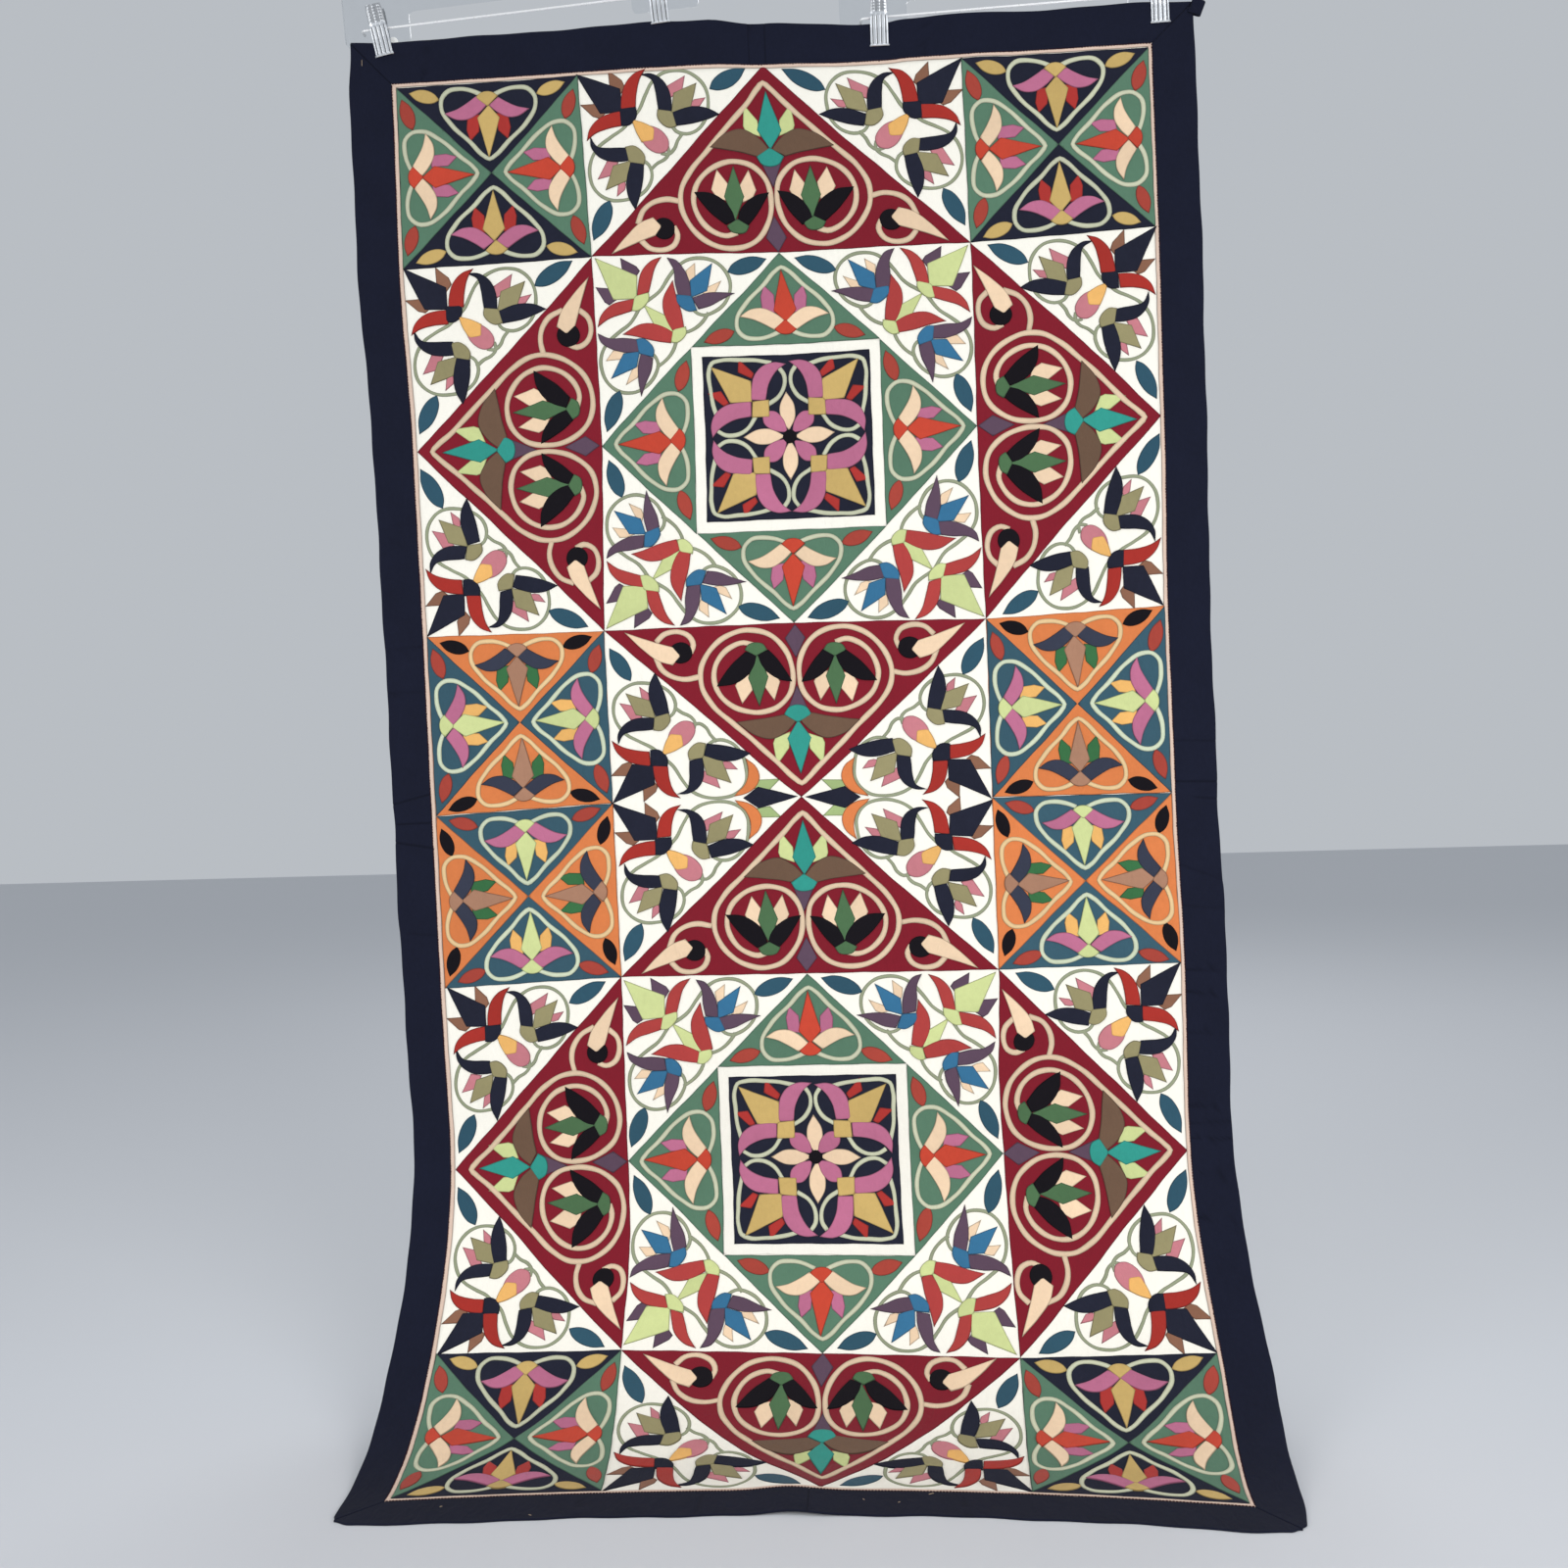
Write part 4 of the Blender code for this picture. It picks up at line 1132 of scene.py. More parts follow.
@dataclass(frozen=True)
class WhiteTriangle:
    """The outer white triangle: a navy lotus into the corner, two ringed lotuses and a bud between them."""

    stem_width: float = 0.0040
    stem: Points = (
        (0.29, 0.28), (0.244, 0.326), (0.168, 0.368), (0.104, 0.408), (0.058, 0.47), (0.04, 0.55),
        (0.054, 0.622), (0.098, 0.676), (0.16, 0.703), (0.23, 0.702), (0.302, 0.682), (0.356, 0.632),
        (0.374, 0.576), (0.36, 0.522), (0.318, 0.492),
    )
    bud_stem: Points = (
        (0.468, 0.43), (0.474, 0.468), (0.448, 0.502), (0.408, 0.522), (0.368, 0.556),
    )
    big: Lotus = Lotus(
        length=0.318, half=0.084, swell=0.076, base_half=0.064, base_drop=0.056, base_depth=0.096,
        right=Wing(
            ((0.045, 0.03), (0.11, 0.066), (0.19, 0.068)), (0.246, 0.04), ((0.194, 0.03), (0.118, -0.012))
        ),
        bract_right=((0.048, 0.058), (0.104, 0.064), (0.122, 0.1), (0.121, 0.194), (0.06, 0.134)),
    )
    ringed: Lotus = Lotus(
        length=0.21, half=0.058, swell=0.084, base_half=0.066, base_drop=0.04, base_depth=0.084,
        right=Wing(((0.06, 0.094), (0.122, 0.145)), (0.19, 0.168), ((0.166, 0.112), (0.122, 0.034))),
        left=Wing(
            ((0.036, 0.034), (0.087, 0.076), (0.15, 0.094), (0.213, 0.08)),
            (0.252, 0.042),
            ((0.188, 0.056), (0.14, 0.026), (0.09, -0.019)),
        ),
        bract_right=((0.034, 0.08), (0.068, 0.1), (0.084, 0.124), (0.078, 0.182), (0.04, 0.132)),
        bract_left=((0.05, 0.045), (0.102, 0.082), (0.068, 0.194), (0.026, 0.122)),
    )
    ring_neck: Point = (0.262, 0.505)
    ring_way: Point = (-0.72, 0.695)
    bud: float = 0.292
    leaf_root: Point = (0.142, 0.708)
    leaf_tip: Point = (0.034, 0.922)
    leaf_width: float = 0.088
    crossing_ring: Point = (-0.014, 0.024)
    crossing_lotus: Point = (0.012, 0.0)

    def sew(self, work: Needlework, cell: Cell, at_crossing: bool = False) -> None:
        """Sews one triangle's whole figure.

        Args:
            work: The needlework to add to.
            cell: The triangle's cell, its origin at the right angle.
            at_crossing: Whether the leaf at the end of its x leg is left off for the flower of the crossing.
        """
        ground = LEVELS.ground
        lotus_dyes = LotusDyes(Dye.OLIVE, Dye.OLIVE, Dye.NAVY, Dye.PINK)
        for frame in (cell, cell.swapped()):
            stems, flower = frame, frame
            if frame is cell or not at_crossing:
                leaf(work, Dye.BLUE_TEAL, frame, self.leaf_root, self.leaf_tip, self.leaf_width, ground)
            else:
                stems, flower = frame.moved(self.crossing_ring), frame.moved(self.crossing_lotus)
            for line in (self.stem, self.bud_stem):
                work.lay(Dye.STEM, stems, line, self.stem_width, ground, LEVELS.stem_rise)
            self.ringed.sew(work, flower.turned(self.ring_neck, self.ring_way), lotus_dyes, ground)
        bud = cell.turned((self.bud, self.bud), (1.0, 1.0))
        husk = [(0.0, 0.05), (0.05, 0.105), (0.06, 0.16), (0.042, 0.215), (0.0, 0.238)]
        husk += [(-x, y) for x, y in husk[-2:0:-1]]
        work.sew(Dye.PINK, bud, husk, (), ground, LEVELS.petal_rise)
        drop = [(0.0, -0.006), (0.03, 0.05), (0.05, 0.112), (0.0, 0.152), (-0.05, 0.112), (-0.03, 0.05)]
        work.sew(Dye.AMBER, bud, drop, (0, 2, 3, 4), ground, LEVELS.wing_rise)
        dyes = LotusDyes(Dye.NAVY, Dye.NAVY, Dye.SCARLET, Dye.BROWN)
        self.big.sew(work, cell.turned((0.234, 0.234), (-1.0, -1.0)), dyes, ground)


@dataclass(frozen=True)
class MedallionTriangle:
    """The white triangle in a medallion's corner: light green and wine lotuses, and two ringed blue ones."""

    stem_width: float = 0.0042
    stem: Points = (
        (0.262, 0.248), (0.236, 0.294), (0.192, 0.354), (0.126, 0.402), (0.068, 0.45), (0.03, 0.51),
        (0.02, 0.58), (0.038, 0.646), (0.076, 0.692), (0.13, 0.72), (0.196, 0.722), (0.264, 0.69),
        (0.308, 0.634), (0.324, 0.576), (0.304, 0.532), (0.262, 0.52),
    )
    bud_stem: Points = (
        (0.428, 0.452), (0.418, 0.492), (0.39, 0.54), (0.35, 0.578), (0.316, 0.6),
    )
    big: Lotus = Lotus(
        length=0.292, half=0.09, swell=0.072, base_half=0.068, base_drop=0.036, base_depth=0.07,
        right=Wing(
            ((0.05, 0.03), (0.115, 0.066), (0.205, 0.066)), (0.256, 0.04), ((0.186, 0.026), (0.115, -0.01))
        ),
        bract_right=((0.055, 0.058), (0.122, 0.07), (0.128, 0.1), (0.104, 0.196), (0.058, 0.142)),
    )
    small: Lotus = Lotus(
        length=0.215, half=0.042, swell=0.085, base_half=0.057, base_drop=0.032, base_depth=0.066,
        right=Wing(
            ((0.014, 0.044), (0.04, 0.1), (0.086, 0.148)), (0.196, 0.184), ((0.158, 0.128), (0.104, 0.034))
        ),
    )
    ringed: Lotus = Lotus(
        length=0.212, half=0.053, swell=0.066, base_half=0.068, base_drop=0.038, base_depth=0.078,
        right=Wing(((0.057, 0.062), (0.12, 0.108)), (0.182, 0.142), ((0.142, 0.074), (0.106, 0.006))),
        left=Wing(
            ((0.056, 0.06), (0.118, 0.1), (0.18, 0.116)),
            (0.224, 0.098),
            ((0.16, 0.064), (0.116, 0.01)),
        ),
        bract_right=((0.034, 0.05), (0.072, 0.066), (0.09, 0.094), (0.078, 0.168), (0.038, 0.094)),
        bract_left=((0.034, 0.05), (0.07, 0.072), (0.096, 0.1), (0.078, 0.166), (0.03, 0.092)),
    )
    ring_neck: Point = (0.228, 0.518)
    ring_way: Point = (-0.795, 0.607)
    leaf_root: Point = (0.108, 0.712)
    leaf_tip: Point = (0.028, 0.926)
    leaf_width: float = 0.086

    def sew(self, work: Needlework, cell: Cell) -> None:
        """Sews one triangle's whole figure.

        Args:
            work: The needlework to add to.
            cell: The figure's cell.
        """
        ground = LEVELS.ground
        lotus_dyes = LotusDyes(Dye.BLUE, Dye.BLUE, Dye.PLUM, Dye.PEACH)
        for frame in (cell, cell.swapped()):
            for line in (self.stem, self.bud_stem):
                work.lay(Dye.STEM, frame, line, self.stem_width, ground, LEVELS.stem_rise)
            leaf(work, Dye.BLUE_TEAL, frame, self.leaf_root, self.leaf_tip, self.leaf_width, ground)
            self.ringed.sew(work, frame.turned(self.ring_neck, self.ring_way), lotus_dyes, ground)
        dyes = LotusDyes(Dye.LEAF_GREEN, Dye.LEAF_GREEN, Dye.WINE, Dye.PLUM)
        self.small.sew(work, cell.turned((0.412, 0.412), (-1.0, -1.0)), dyes, ground)
        self.big.sew(work, cell.turned((0.221, 0.221), (-1.0, -1.0)), dyes, ground)


@dataclass(frozen=True)
class CrossingFlower:
    """The half flower beside the middle crossing: a navy kite to it, orange crescents round the rings."""

    def sew(self, work: Needlework, cell: Cell) -> None:
        """Sews the flower in a cell whose origin is the crossing and whose y runs out from it.

        Args:
            work: The needlework to add to.
            cell: The figure's cell.
        """
        ground = LEVELS.ground
        for frame in (cell, cell.mirrored()):
            bract = [(0.048, 0.166), (0.118, 0.106), (0.118, 0.222), (0.062, 0.24)]
            work.sew(Dye.SPRING_GREEN, frame, bract, (0, 1, 2, 3), ground, LEVELS.bract_rise)
            crescent = [(0.004, 0.352), (0.024, 0.285), (0.066, 0.234), (0.13, 0.21), (0.194, 0.228)]
            crescent += [(0.244, 0.286), (0.2, 0.274), (0.135, 0.275), (0.076, 0.298), (0.032, 0.336)]
            work.sew(Dye.ORANGE, frame, crescent, (0, 5), ground, LEVELS.wing_rise)
        kite = [(0.0, 0.012), (0.074, 0.228), (0.0, 0.312), (-0.074, 0.228)]
        work.sew(Dye.NAVY, cell, kite, (0, 1, 2, 3), ground, LEVELS.petal_rise)


@dataclass(frozen=True)
class CentreSquare:
    """The navy square in a medallion: an eight-petalled flower, four gold lotuses and pale frames."""

    strip_width: float = 0.0052
    disc_radius: float = 0.037
    frame_line: Points = (
        (0.378, 0.09), (0.402, 0.18), (0.412, 0.28), (0.412, 0.37), (0.396, 0.406), (0.35, 0.42),
        (0.26, 0.42), (0.17, 0.414), (0.085, 0.394),
    )
    loop_line: Points = (
        (0.112, 0.178), (0.048, 0.222), (0.016, 0.282), (0.017, 0.338), (0.042, 0.378),
    )
    arch_outer: Points = (
        (0.192, 0.2), (0.19, 0.262), (0.178, 0.33), (0.138, 0.384), (0.074, 0.41),
    )
    arch_inner: Points = ((0.056, 0.362), (0.096, 0.29), (0.112, 0.2))

    def sew(self, work: Needlework, cell: Cell) -> None:
        """Sews the whole figure of one square, a quarter at a time.

        Args:
            work: The needlework to add to.
            cell: The figure's cell.
        """
        base = LEVELS.second
        for quarter in range(4):
            angle = math.pi / 2 * quarter
            frame = cell.turned((0.0, 0.0), (math.sin(angle), math.cos(angle)))
            peach = [(0.0, 0.02), (0.04, 0.1), (0.04, 0.16), (0.0, 0.24), (-0.04, 0.16), (-0.04, 0.1)]
            work.sew(Dye.PEACH, frame, peach, (0, 3), base, LEVELS.bract_rise)
            work.lay(Dye.PALE_GREEN, frame, self.frame_line, self.strip_width, base, LEVELS.leaf_rise)
            slanted = frame.turned((0.0, 0.0), (1.0, 1.0))
            mauve = [(0.0, 0.022), (0.04, 0.085), (0.045, 0.14), (0.0, 0.196), (-0.045, 0.14), (-0.04, 0.085)]
            work.sew(Dye.MAUVE, slanted, mauve, (0, 3), base, LEVELS.petal_rise)
            gold = [(0.398, 0.392), (0.186, 0.304), (0.186, 0.186), (0.304, 0.186)]
            work.sew(Dye.GOLD, frame, gold, (0, 1, 2, 3), base, LEVELS.petal_rise)
            for side in (frame, frame.swapped()):
                work.lay(Dye.PALE_GREEN, side, self.loop_line, self.strip_width, base, LEVELS.strip_rise)
                bract = [(0.19, 0.312), (0.262, 0.352), (0.252, 0.424), (0.176, 0.342)]
                work.sew(Dye.CHERRY, side, bract, (0, 1, 2, 3), base, LEVELS.bract_rise)
                arch = [*self.arch_outer, (0.006, 0.404), *self.arch_inner]
                work.sew(Dye.MAUVE, side, arch, (0, 5, 8), base, LEVELS.wing_rise)
            root = [(0.196, 0.196), (0.106, 0.202), (0.106, 0.106), (0.202, 0.106)]
            work.sew(Dye.GOLD, frame, root, (0, 1, 2, 3), base, LEVELS.heart_rise)
        work.sew(Dye.BLACK, cell, circle((0.0, 0.0), self.disc_radius), (), base, LEVELS.heart_rise)


@dataclass(frozen=True)
class Blocks:
    """Lays out the whole pattern: ground patches first, then the figures on them."""

    block_waver: float = 0.0007
    side_step: float = 0.02
    frame_inset: float = 0.056
    outer_reach: float = 0.014
    top_rise: float = 0.0009
    side_sunk: float = 0.0003
    side_lift: float = 0.0005
    red_lotus: LotusDyes = LotusDyes(Dye.RED_ORANGE, Dye.RED_ORANGE, Dye.PEACH, Dye.MAUVE)
    gold_lotus: LotusDyes = LotusDyes(Dye.GOLD, Dye.GOLD, Dye.MAUVE, Dye.CHERRY)
    taupe_lotus: LotusDyes = LotusDyes(Dye.TAUPE, Dye.TAUPE, Dye.SLATE, Dye.GRASS)
    leaf_green_lotus: LotusDyes = LotusDyes(Dye.LEAF_GREEN, Dye.LEAF_GREEN, Dye.MAUVE, Dye.AMBER)

    def outline(
        self,
        work: Needlework,
        dye: Dye,
        corners: Points,
        kind: str,
        base: float = LEVELS.ground,
        rise: float = LEVELS.block_rise,
    ) -> None:
        """Sews one large patch with straight sides that waver as cut by hand.

        Args:
            work: The needlework to add to.
            dye: Its colour.
            corners: Its corners, in blocks.
            kind: Which joined piece it belongs to.
            base: Height of what it lies on.
            rise: How far it stands above that.
        """
        rows = np.array(corners, float)
        runs = []
        for start, end in zip(rows, np.roll(rows, -1, axis=0)):
            pieces = max(2, round(float(np.linalg.norm(end - start)) / self.side_step))
            runs.append(start + (end - start) * (np.arange(pieces) / pieces)[:, None])
        flat = work.cloth.flat(np.concatenate(runs))
        work.patch(dye, work.by_hand(flat, self.block_waver, 0.0), base, rise, kind)

    @staticmethod
    def base_ends(origin: Point, way: Point, half: float) -> list[Point]:
        """Both ends of a triangle's base, from its middle and the way to its apex."""
        return [(origin[0] + way[1] * half * sign, origin[1] + way[0] * half * sign) for sign in (1, -1)]

    def square(
        self, work: Needlework, corner: Point, dyes: tuple[Dye, Dye], hearts: tuple[HeartDyes, HeartDyes]
    ) -> None:
        """Sews a square of four triangles, two of each dye, with a heart in each.

        Args:
            work: The needlework to add to.
            corner: Its left top corner, in blocks.
            dyes: Dye of the top and bottom triangles, then of the left and right ones.
            hearts: Dyes of the hearts on each, in the same order.
        """
        u, v = corner
        middle = (u + 0.5, v + 0.5)
        corners = [(u, v), (u + 1, v), (u + 1, v + 1), (u, v + 1)]
        self.outline(work, dyes[0], corners, "squares")
        for low, high in ((3, 0), (1, 2)):
            triangle = [corners[low], corners[high], middle]
            base = LEVELS.first - self.side_sunk
            self.outline(work, dyes[1], triangle, "side_triangles", base, self.top_rise)
        for side, towards in enumerate(((0, 1), (-1, 0), (0, -1), (1, 0))):
            origin = (middle[0] - towards[0] * 0.5, middle[1] - towards[1] * 0.5)
            cell = Cell(origin, (towards[1], -towards[0]), towards)
            Heart().sew(work, cell, hearts[side % 2], LEVELS.first + self.side_lift * (side % 2))

    def medallion(self, work: Needlework, middle: float) -> None:
        """Sews one medallion and the red and white triangles round it.

        Args:
            work: The needlework to add to.
            middle: How far down its middle lies, in blocks.
        """
        reds = ((2, middle - 2, 0, -1), (0, middle, -1, 0), (4, middle, 1, 0), (2, middle + 2, 0, 1))
        for u, v, du, dv in reds:
            origin = (u - du, v - dv)
            self.outline(work, Dye.DARK_RED, [(u, v), *self.base_ends(origin, (du, dv), 1)], "red_triangles")
            RedTriangle().sew(work, Cell(origin, (-dv, du), (du, dv)))
        for du, dv in ((0, -1), (-1, 0), (1, 0), (0, 1)):
            origin = (2 + du * 0.5, middle + dv * 0.5)
            apex = (origin[0] + du * 0.5, origin[1] + dv * 0.5)
            self.outline(work, Dye.GREEN, [apex, *self.base_ends(origin, (du, dv), 0.5)], "green_triangles")
            dyes = HeartDyes(Dye.PALE_GREEN, self.red_lotus, Dye.BRICK)
            Heart().sew(work, Cell(origin, (-dv, du), (du, dv)), dyes, LEVELS.first)
        squares = []
        for inset in (0, self.frame_inset):
            left, right = 1.5 + inset, 2.5 - inset
            top, low = middle - 0.5 + inset, middle + 0.5 - inset
            squares.append([(left, top), (right, top), (right, low), (left, low)])
        self.outline(work, Dye.CREAM, squares[0], "centre_frames")
        self.outline(work, Dye.NAVY, squares[1], "centre_squares", LEVELS.first, self.top_rise)
        CentreSquare().sew(work, Cell((2.0, middle), (1, 0), (0, 1)))
        for su, sv in ((-1, -1), (-1, 1), (1, -1), (1, 1)):
            MedallionTriangle().sew(work, Cell((2 + su, middle + sv), (-su, 0), (0, -sv)))
            for u, v in ((2 + su, middle + 2 * sv), (2 + 2 * su, middle + sv)):
                origin = (u + su * self.outer_reach, v + sv * self.outer_reach)
                WhiteTriangle().sew(work, Cell(origin, (-su, 0), (0, -sv)), v == 4)

    def sew(self, work: Needlework) -> None:
        """Sews every block of the hanging.

        Args:
            work: The needlework to add to.
        """
        on_green = HeartDyes(Dye.PALE_GREEN, self.red_lotus, Dye.BRICK)
        on_navy = HeartDyes(Dye.PALE_GREEN, self.gold_lotus, Dye.GOLD)
        on_orange = HeartDyes(Dye.PALE_YELLOW, self.taupe_lotus, Dye.BLACK)
        on_teal = HeartDyes(Dye.MIST, self.leaf_green_lotus, Dye.BRICK)
        for v in (0, 7):
            for u in (0, 3):
                self.square(work, (u, v), (Dye.NAVY, Dye.GREEN), (on_navy, on_green))
        for u in (0, 3):
            self.square(work, (u, 3), (Dye.ORANGE, Dye.TEAL), (on_orange, on_teal))
            self.square(work, (u, 4), (Dye.TEAL, Dye.ORANGE), (on_teal, on_orange))
        for way in (-1, 1):
            CrossingFlower().sew(work, Cell((2, 4), (0, 1), (way, 0)))
        for middle in (2, 6):
            self.medallion(work, middle)
            LOG.info("sewed the medallion at row %s", middle)


@dataclass(frozen=True)
class CornerTrim:
    """How far a corner of the border is drawn in, across and along, and how far from it that reaches."""

    side: int
    end: int
    across: float
    down: float
    reach: float


@dataclass(frozen=True)
class Crease:
    """A crease across a border strip: its place along it, slant, half-width and depth in metres.

    It runs from its start to its end, in shares of the way from the seam to the outer edge.
    """

    place: float
    slant: float
    half: float
    depth: float
    start: float = 0.0
    end: float = 1.0

    def shape(self, off: np.ndarray, shares: np.ndarray) -> np.ndarray:
        """How deep it lies.

        Args:
            off: How far along the strip each place is from it.
            shares: How far out each column of places is.

        Returns:
            The depth at each place.
        """
        width = off / self.half
        begin, stop = (shares - self.start) / 0.12 + 1, (self.end - shares) / 0.12 + 1
        run = smoothstep(begin) * smoothstep(stop)
        return self.depth * (1 - 1.4 * width**2) * np.exp(-(width**2)) * run[None, :]


CREASES = {
    "border_left": (
        Crease(0.546, 0.004, 0.0022, 0.0005, 0.5), Crease(0.678, 0.003, 0.0026, 0.0004),
        Crease(0.732, 0, 0.0024, 0.0004, 0.2), Crease(0.864, 0.012, 0.002, 0.0008),
        Crease(0.894, 0.001, 0.0018, 0.0009, 0.0, 0.9), Crease(0.921, -0.008, 0.0022, 0.0008),
        Crease(1.031, -0.004, 0.0026, 0.0004),
    ),
    "border_right": (
        Crease(0.82, 0.002, 0.0026, 0.0004), Crease(0.869, 0.001, 0.0022, 0.0008),
        Crease(0.888, 0.005, 0.002, 0.0006, 0.5), Crease(0.978, 0.02, 0.003, 0.0004),
        Crease(1.02, 0.006, 0.0026, 0.0004), Crease(1.096, 0.002, 0.0022, 0.0008),
        Crease(1.125, 0.008, 0.0024, 0.0009), Crease(1.172, 0.002, 0.0026, 0.0005),
        Crease(1.262, 0.004, 0.0034, 0.0007), Crease(1.28, -0.002, 0.0026, 0.0006),
        Crease(1.299, 0.001, 0.0018, 0.0009), Crease(1.342, 0.007, 0.0024, 0.0006, 0.2),
        Crease(1.394, 0.004, 0.0022, 0.0009),
    ),
    "border_bottom": (
        Crease(-0.245, 0.006, 0.003, 0.0006, 0.3), Crease(-0.118, -0.004, 0.0028, 0.0005, 0.2),
        Crease(0.16, 0.006, 0.003, 0.0006, 0.4),
    ),
    "border_top": (
        Crease(-0.41, 0.012, 0.0024, 0.0006), Crease(0.19, 0.004, 0.003, 0.0004),
    ),
}


@dataclass(frozen=True)
class Sheets:
    """The plain sheets: the cream ground cloth, the edging and the four border strips."""

    cloth: Cloth
    ground_half: float = 0.0008
    border_half: float = 0.0010
    step: float = 0.009
    rim_share: float = 0.35
    seam_gap: float = 0.0003
    mitre_gap: float = 0.0004
    seam_half: float = 0.0011
    groove: float = 0.0007
    top_seams: tuple[float, ...] = (-0.02, -0.0005)
    bottom_seams: tuple[float, ...] = (-0.004,)
    joint_runs: tuple[Triple, ...] = ((0.02, 0.93, 0.006), (0.9, 0.985, 0.0016))
    slant_reach: float = 0.012
    edging_widths: tuple[float, ...] = (0.004, 0.0044, 0.0044, 0.005)
    edging_level: float = 0.0009
    edging_rise: float = 0.0007
    stitch_pitch: float = 0.0034
    stitch_length: float = 0.0023
    stitch_width: float = 0.0012
    stitch_level: float = 0.0011
    stitch_rise: float = 0.0006
    lint_width: float = 0.0004
    mitre_painted_shade: float = 0.3
    out_shares: tuple[float, ...] = (0, 0.008, 0.03, 0.09, 0.2, 0.35, 0.5, 0.65, 0.8, 0.91, 0.97, 0.992, 1.0)
    end_shares: tuple[float, ...] = (0.0, 0.0007, 0.0016, 0.003, 0.0046, 0.0064, 0.0085)
    lint: tuple[tuple[float, float, float, float], ...] = (
        (-0.488, 0.027, 0.0004, 0.0072),
        (-0.39, -1.8, 0.0022, 0.0014),
        (-0.2925, -1.825, 0.003, -0.0016),
        (0.053, -1.8, 0.0018, -0.0022),
        (0.0897, -1.807, 0.002, 0.0012),
        (0.122, -1.788, 0.0052, 0.0028),
    )
    trims: tuple[CornerTrim, ...] = (
        CornerTrim(1, 1, -0.009, -0.007, 0.08),
        CornerTrim(1, 1, -0.0055, -0.0055, 0.019),
        CornerTrim(-1, 1, 0.0, -0.008, 0.06),
        CornerTrim(-1, 1, -0.002, -0.008, 0.02),
        CornerTrim(-1, 0, -0.004, -0.0012, 0.06),
        CornerTrim(1, 0, -0.0008, -0.0008, 0.004),
    )

    @property
    def seam(self) -> float:
        """Where the side borders start, aside of the cloth's middle line."""
        return self.cloth.width / 2 + self.cloth.edging + self.seam_gap

    @property
    def seams_down(self) -> Point:
        """Where the top and the bottom border start, down from the pattern's top."""
        return -self.cloth.edging - self.seam_gap, self.cloth.height + self.cloth.edging + self.seam_gap

    @property
    def ends_down(self) -> Point:
        """The outer edges of the top and the bottom border, down from the pattern's top."""
        cloth = self.cloth
        return -(cloth.edging + cloth.border_top), cloth.height + cloth.edging + cloth.border_bottom

    def ground(self) -> Piece:
        """The ground cloth as a closed sheet on a fine grid."""
        cloth = self.cloth
        half = cloth.width / 2 + cloth.edging
        xs = np.linspace(-half, half, round(2 * half / self.step))
        ys = np.linspace(cloth.edging, -cloth.height - cloth.edging, round((cloth.height + 0.01) / self.step))
        return self.sheet(np.array([[(x, y) for x in xs] for y in ys]), self.ground_half)

    def sheet(self, places: np.ndarray, half: float, dips: np.ndarray | None = None) -> Piece:
        """A closed sheet over a grid of flat places, thinned at its rim.

        Args:
            places: Rows and columns of flat x and y.
            half: Half its thickness.
            dips: How far its front sinks at each place.

        Returns:
            The sheet.
        """
        rows, columns = places.shape[:2]
        inside = np.zeros((rows, columns))
        inside[1:-1, 1:-1] = 1.0
        back_heights = half * (self.rim_share + (1 - self.rim_share) * inside)
        heights = back_heights if dips is None else back_heights - dips
        # Painted shade darkens the sheet's rim, its mitred ends and the bottoms of its seams and creases.
        edge = 1 - inside
        if dips is not None:
            edge[0], edge[-1] = self.mitre_painted_shade, self.mitre_painted_shade
            edge = np.maximum(edge * 0.6, np.clip(dips / self.groove, 0, 1) * 0.9)
        flat = places.reshape(-1, 2)
        count = len(flat)
        starts = [i * columns + j for i in range(rows - 1) for j in range(columns - 1)]
        quads = [(a, a + columns, a + columns + 1, a + 1) for a in starts]
        back = [(a + count, d + count, c + count, b + count) for a, b, c, d in quads]
        rim = list(range(columns))
        rim += [i * columns + columns - 1 for i in range(1, rows)]
        rim += [(rows - 1) * columns + j for j in range(columns - 2, -1, -1)]
        rim += [i * columns for i in range(rows - 2, 0, -1)]
        walls = [(a, b, b + count, a + count) for a, b in zip(rim, rim[1:] + rim[:1])]
        both = np.concatenate([heights.ravel(), -back_heights.ravel()])
        made = Piece()
        made.add(np.tile(flat, (2, 1)), both, np.tile(edge.ravel() * 0.6, 2), 0.5, quads + back + walls)
        return made

    def edging(self, work: Needlework) -> None:
        """Four narrow salmon strips round the pattern, each with dark running stitches at its seam.

        Args:
            work: The needlework to add to.
        """
        cloth = self.cloth
        half, low = cloth.width / 2 + cloth.edging, cloth.height + cloth.edging
        corners = np.array([(-half, cloth.edging), (half, cloth.edging), (half, -low), (-half, -low)])
        for start, end, width in zip(corners, np.roll(corners, -1, axis=0), self.edging_widths):
            length = float(np.linalg.norm(end - start))
            way = (end - start) / length
            inward = np.array([way[1], -way[0]])
            shares = np.linspace(0, 1, round(length / 0.008))[:, None]
            line = work.by_hand(start + inward * width / 2 + (end - start) * shares, 0.0005, 0.0)
            level = self.edging_level + abs(way[0]) * 0.00005
            work.strip(Dye.SALMON, line, width * 1.06, level, self.edging_rise, "edging")
            for number in range(round(length / self.stitch_pitch)):
                along = way * (number + 0.5) * self.stitch_pitch
                middle = start + along + inward * work.chance.normal(0, 0.00015)
                reach = way * self.stitch_length / 2 + inward * work.chance.normal(0, 0.0001)
                ends = np.array([middle - reach, middle + reach])
                height = (self.stitch_level, self.stitch_rise)
                work.strip(Dye.THREAD_RED, ends, self.stitch_width, *height, "stitches")

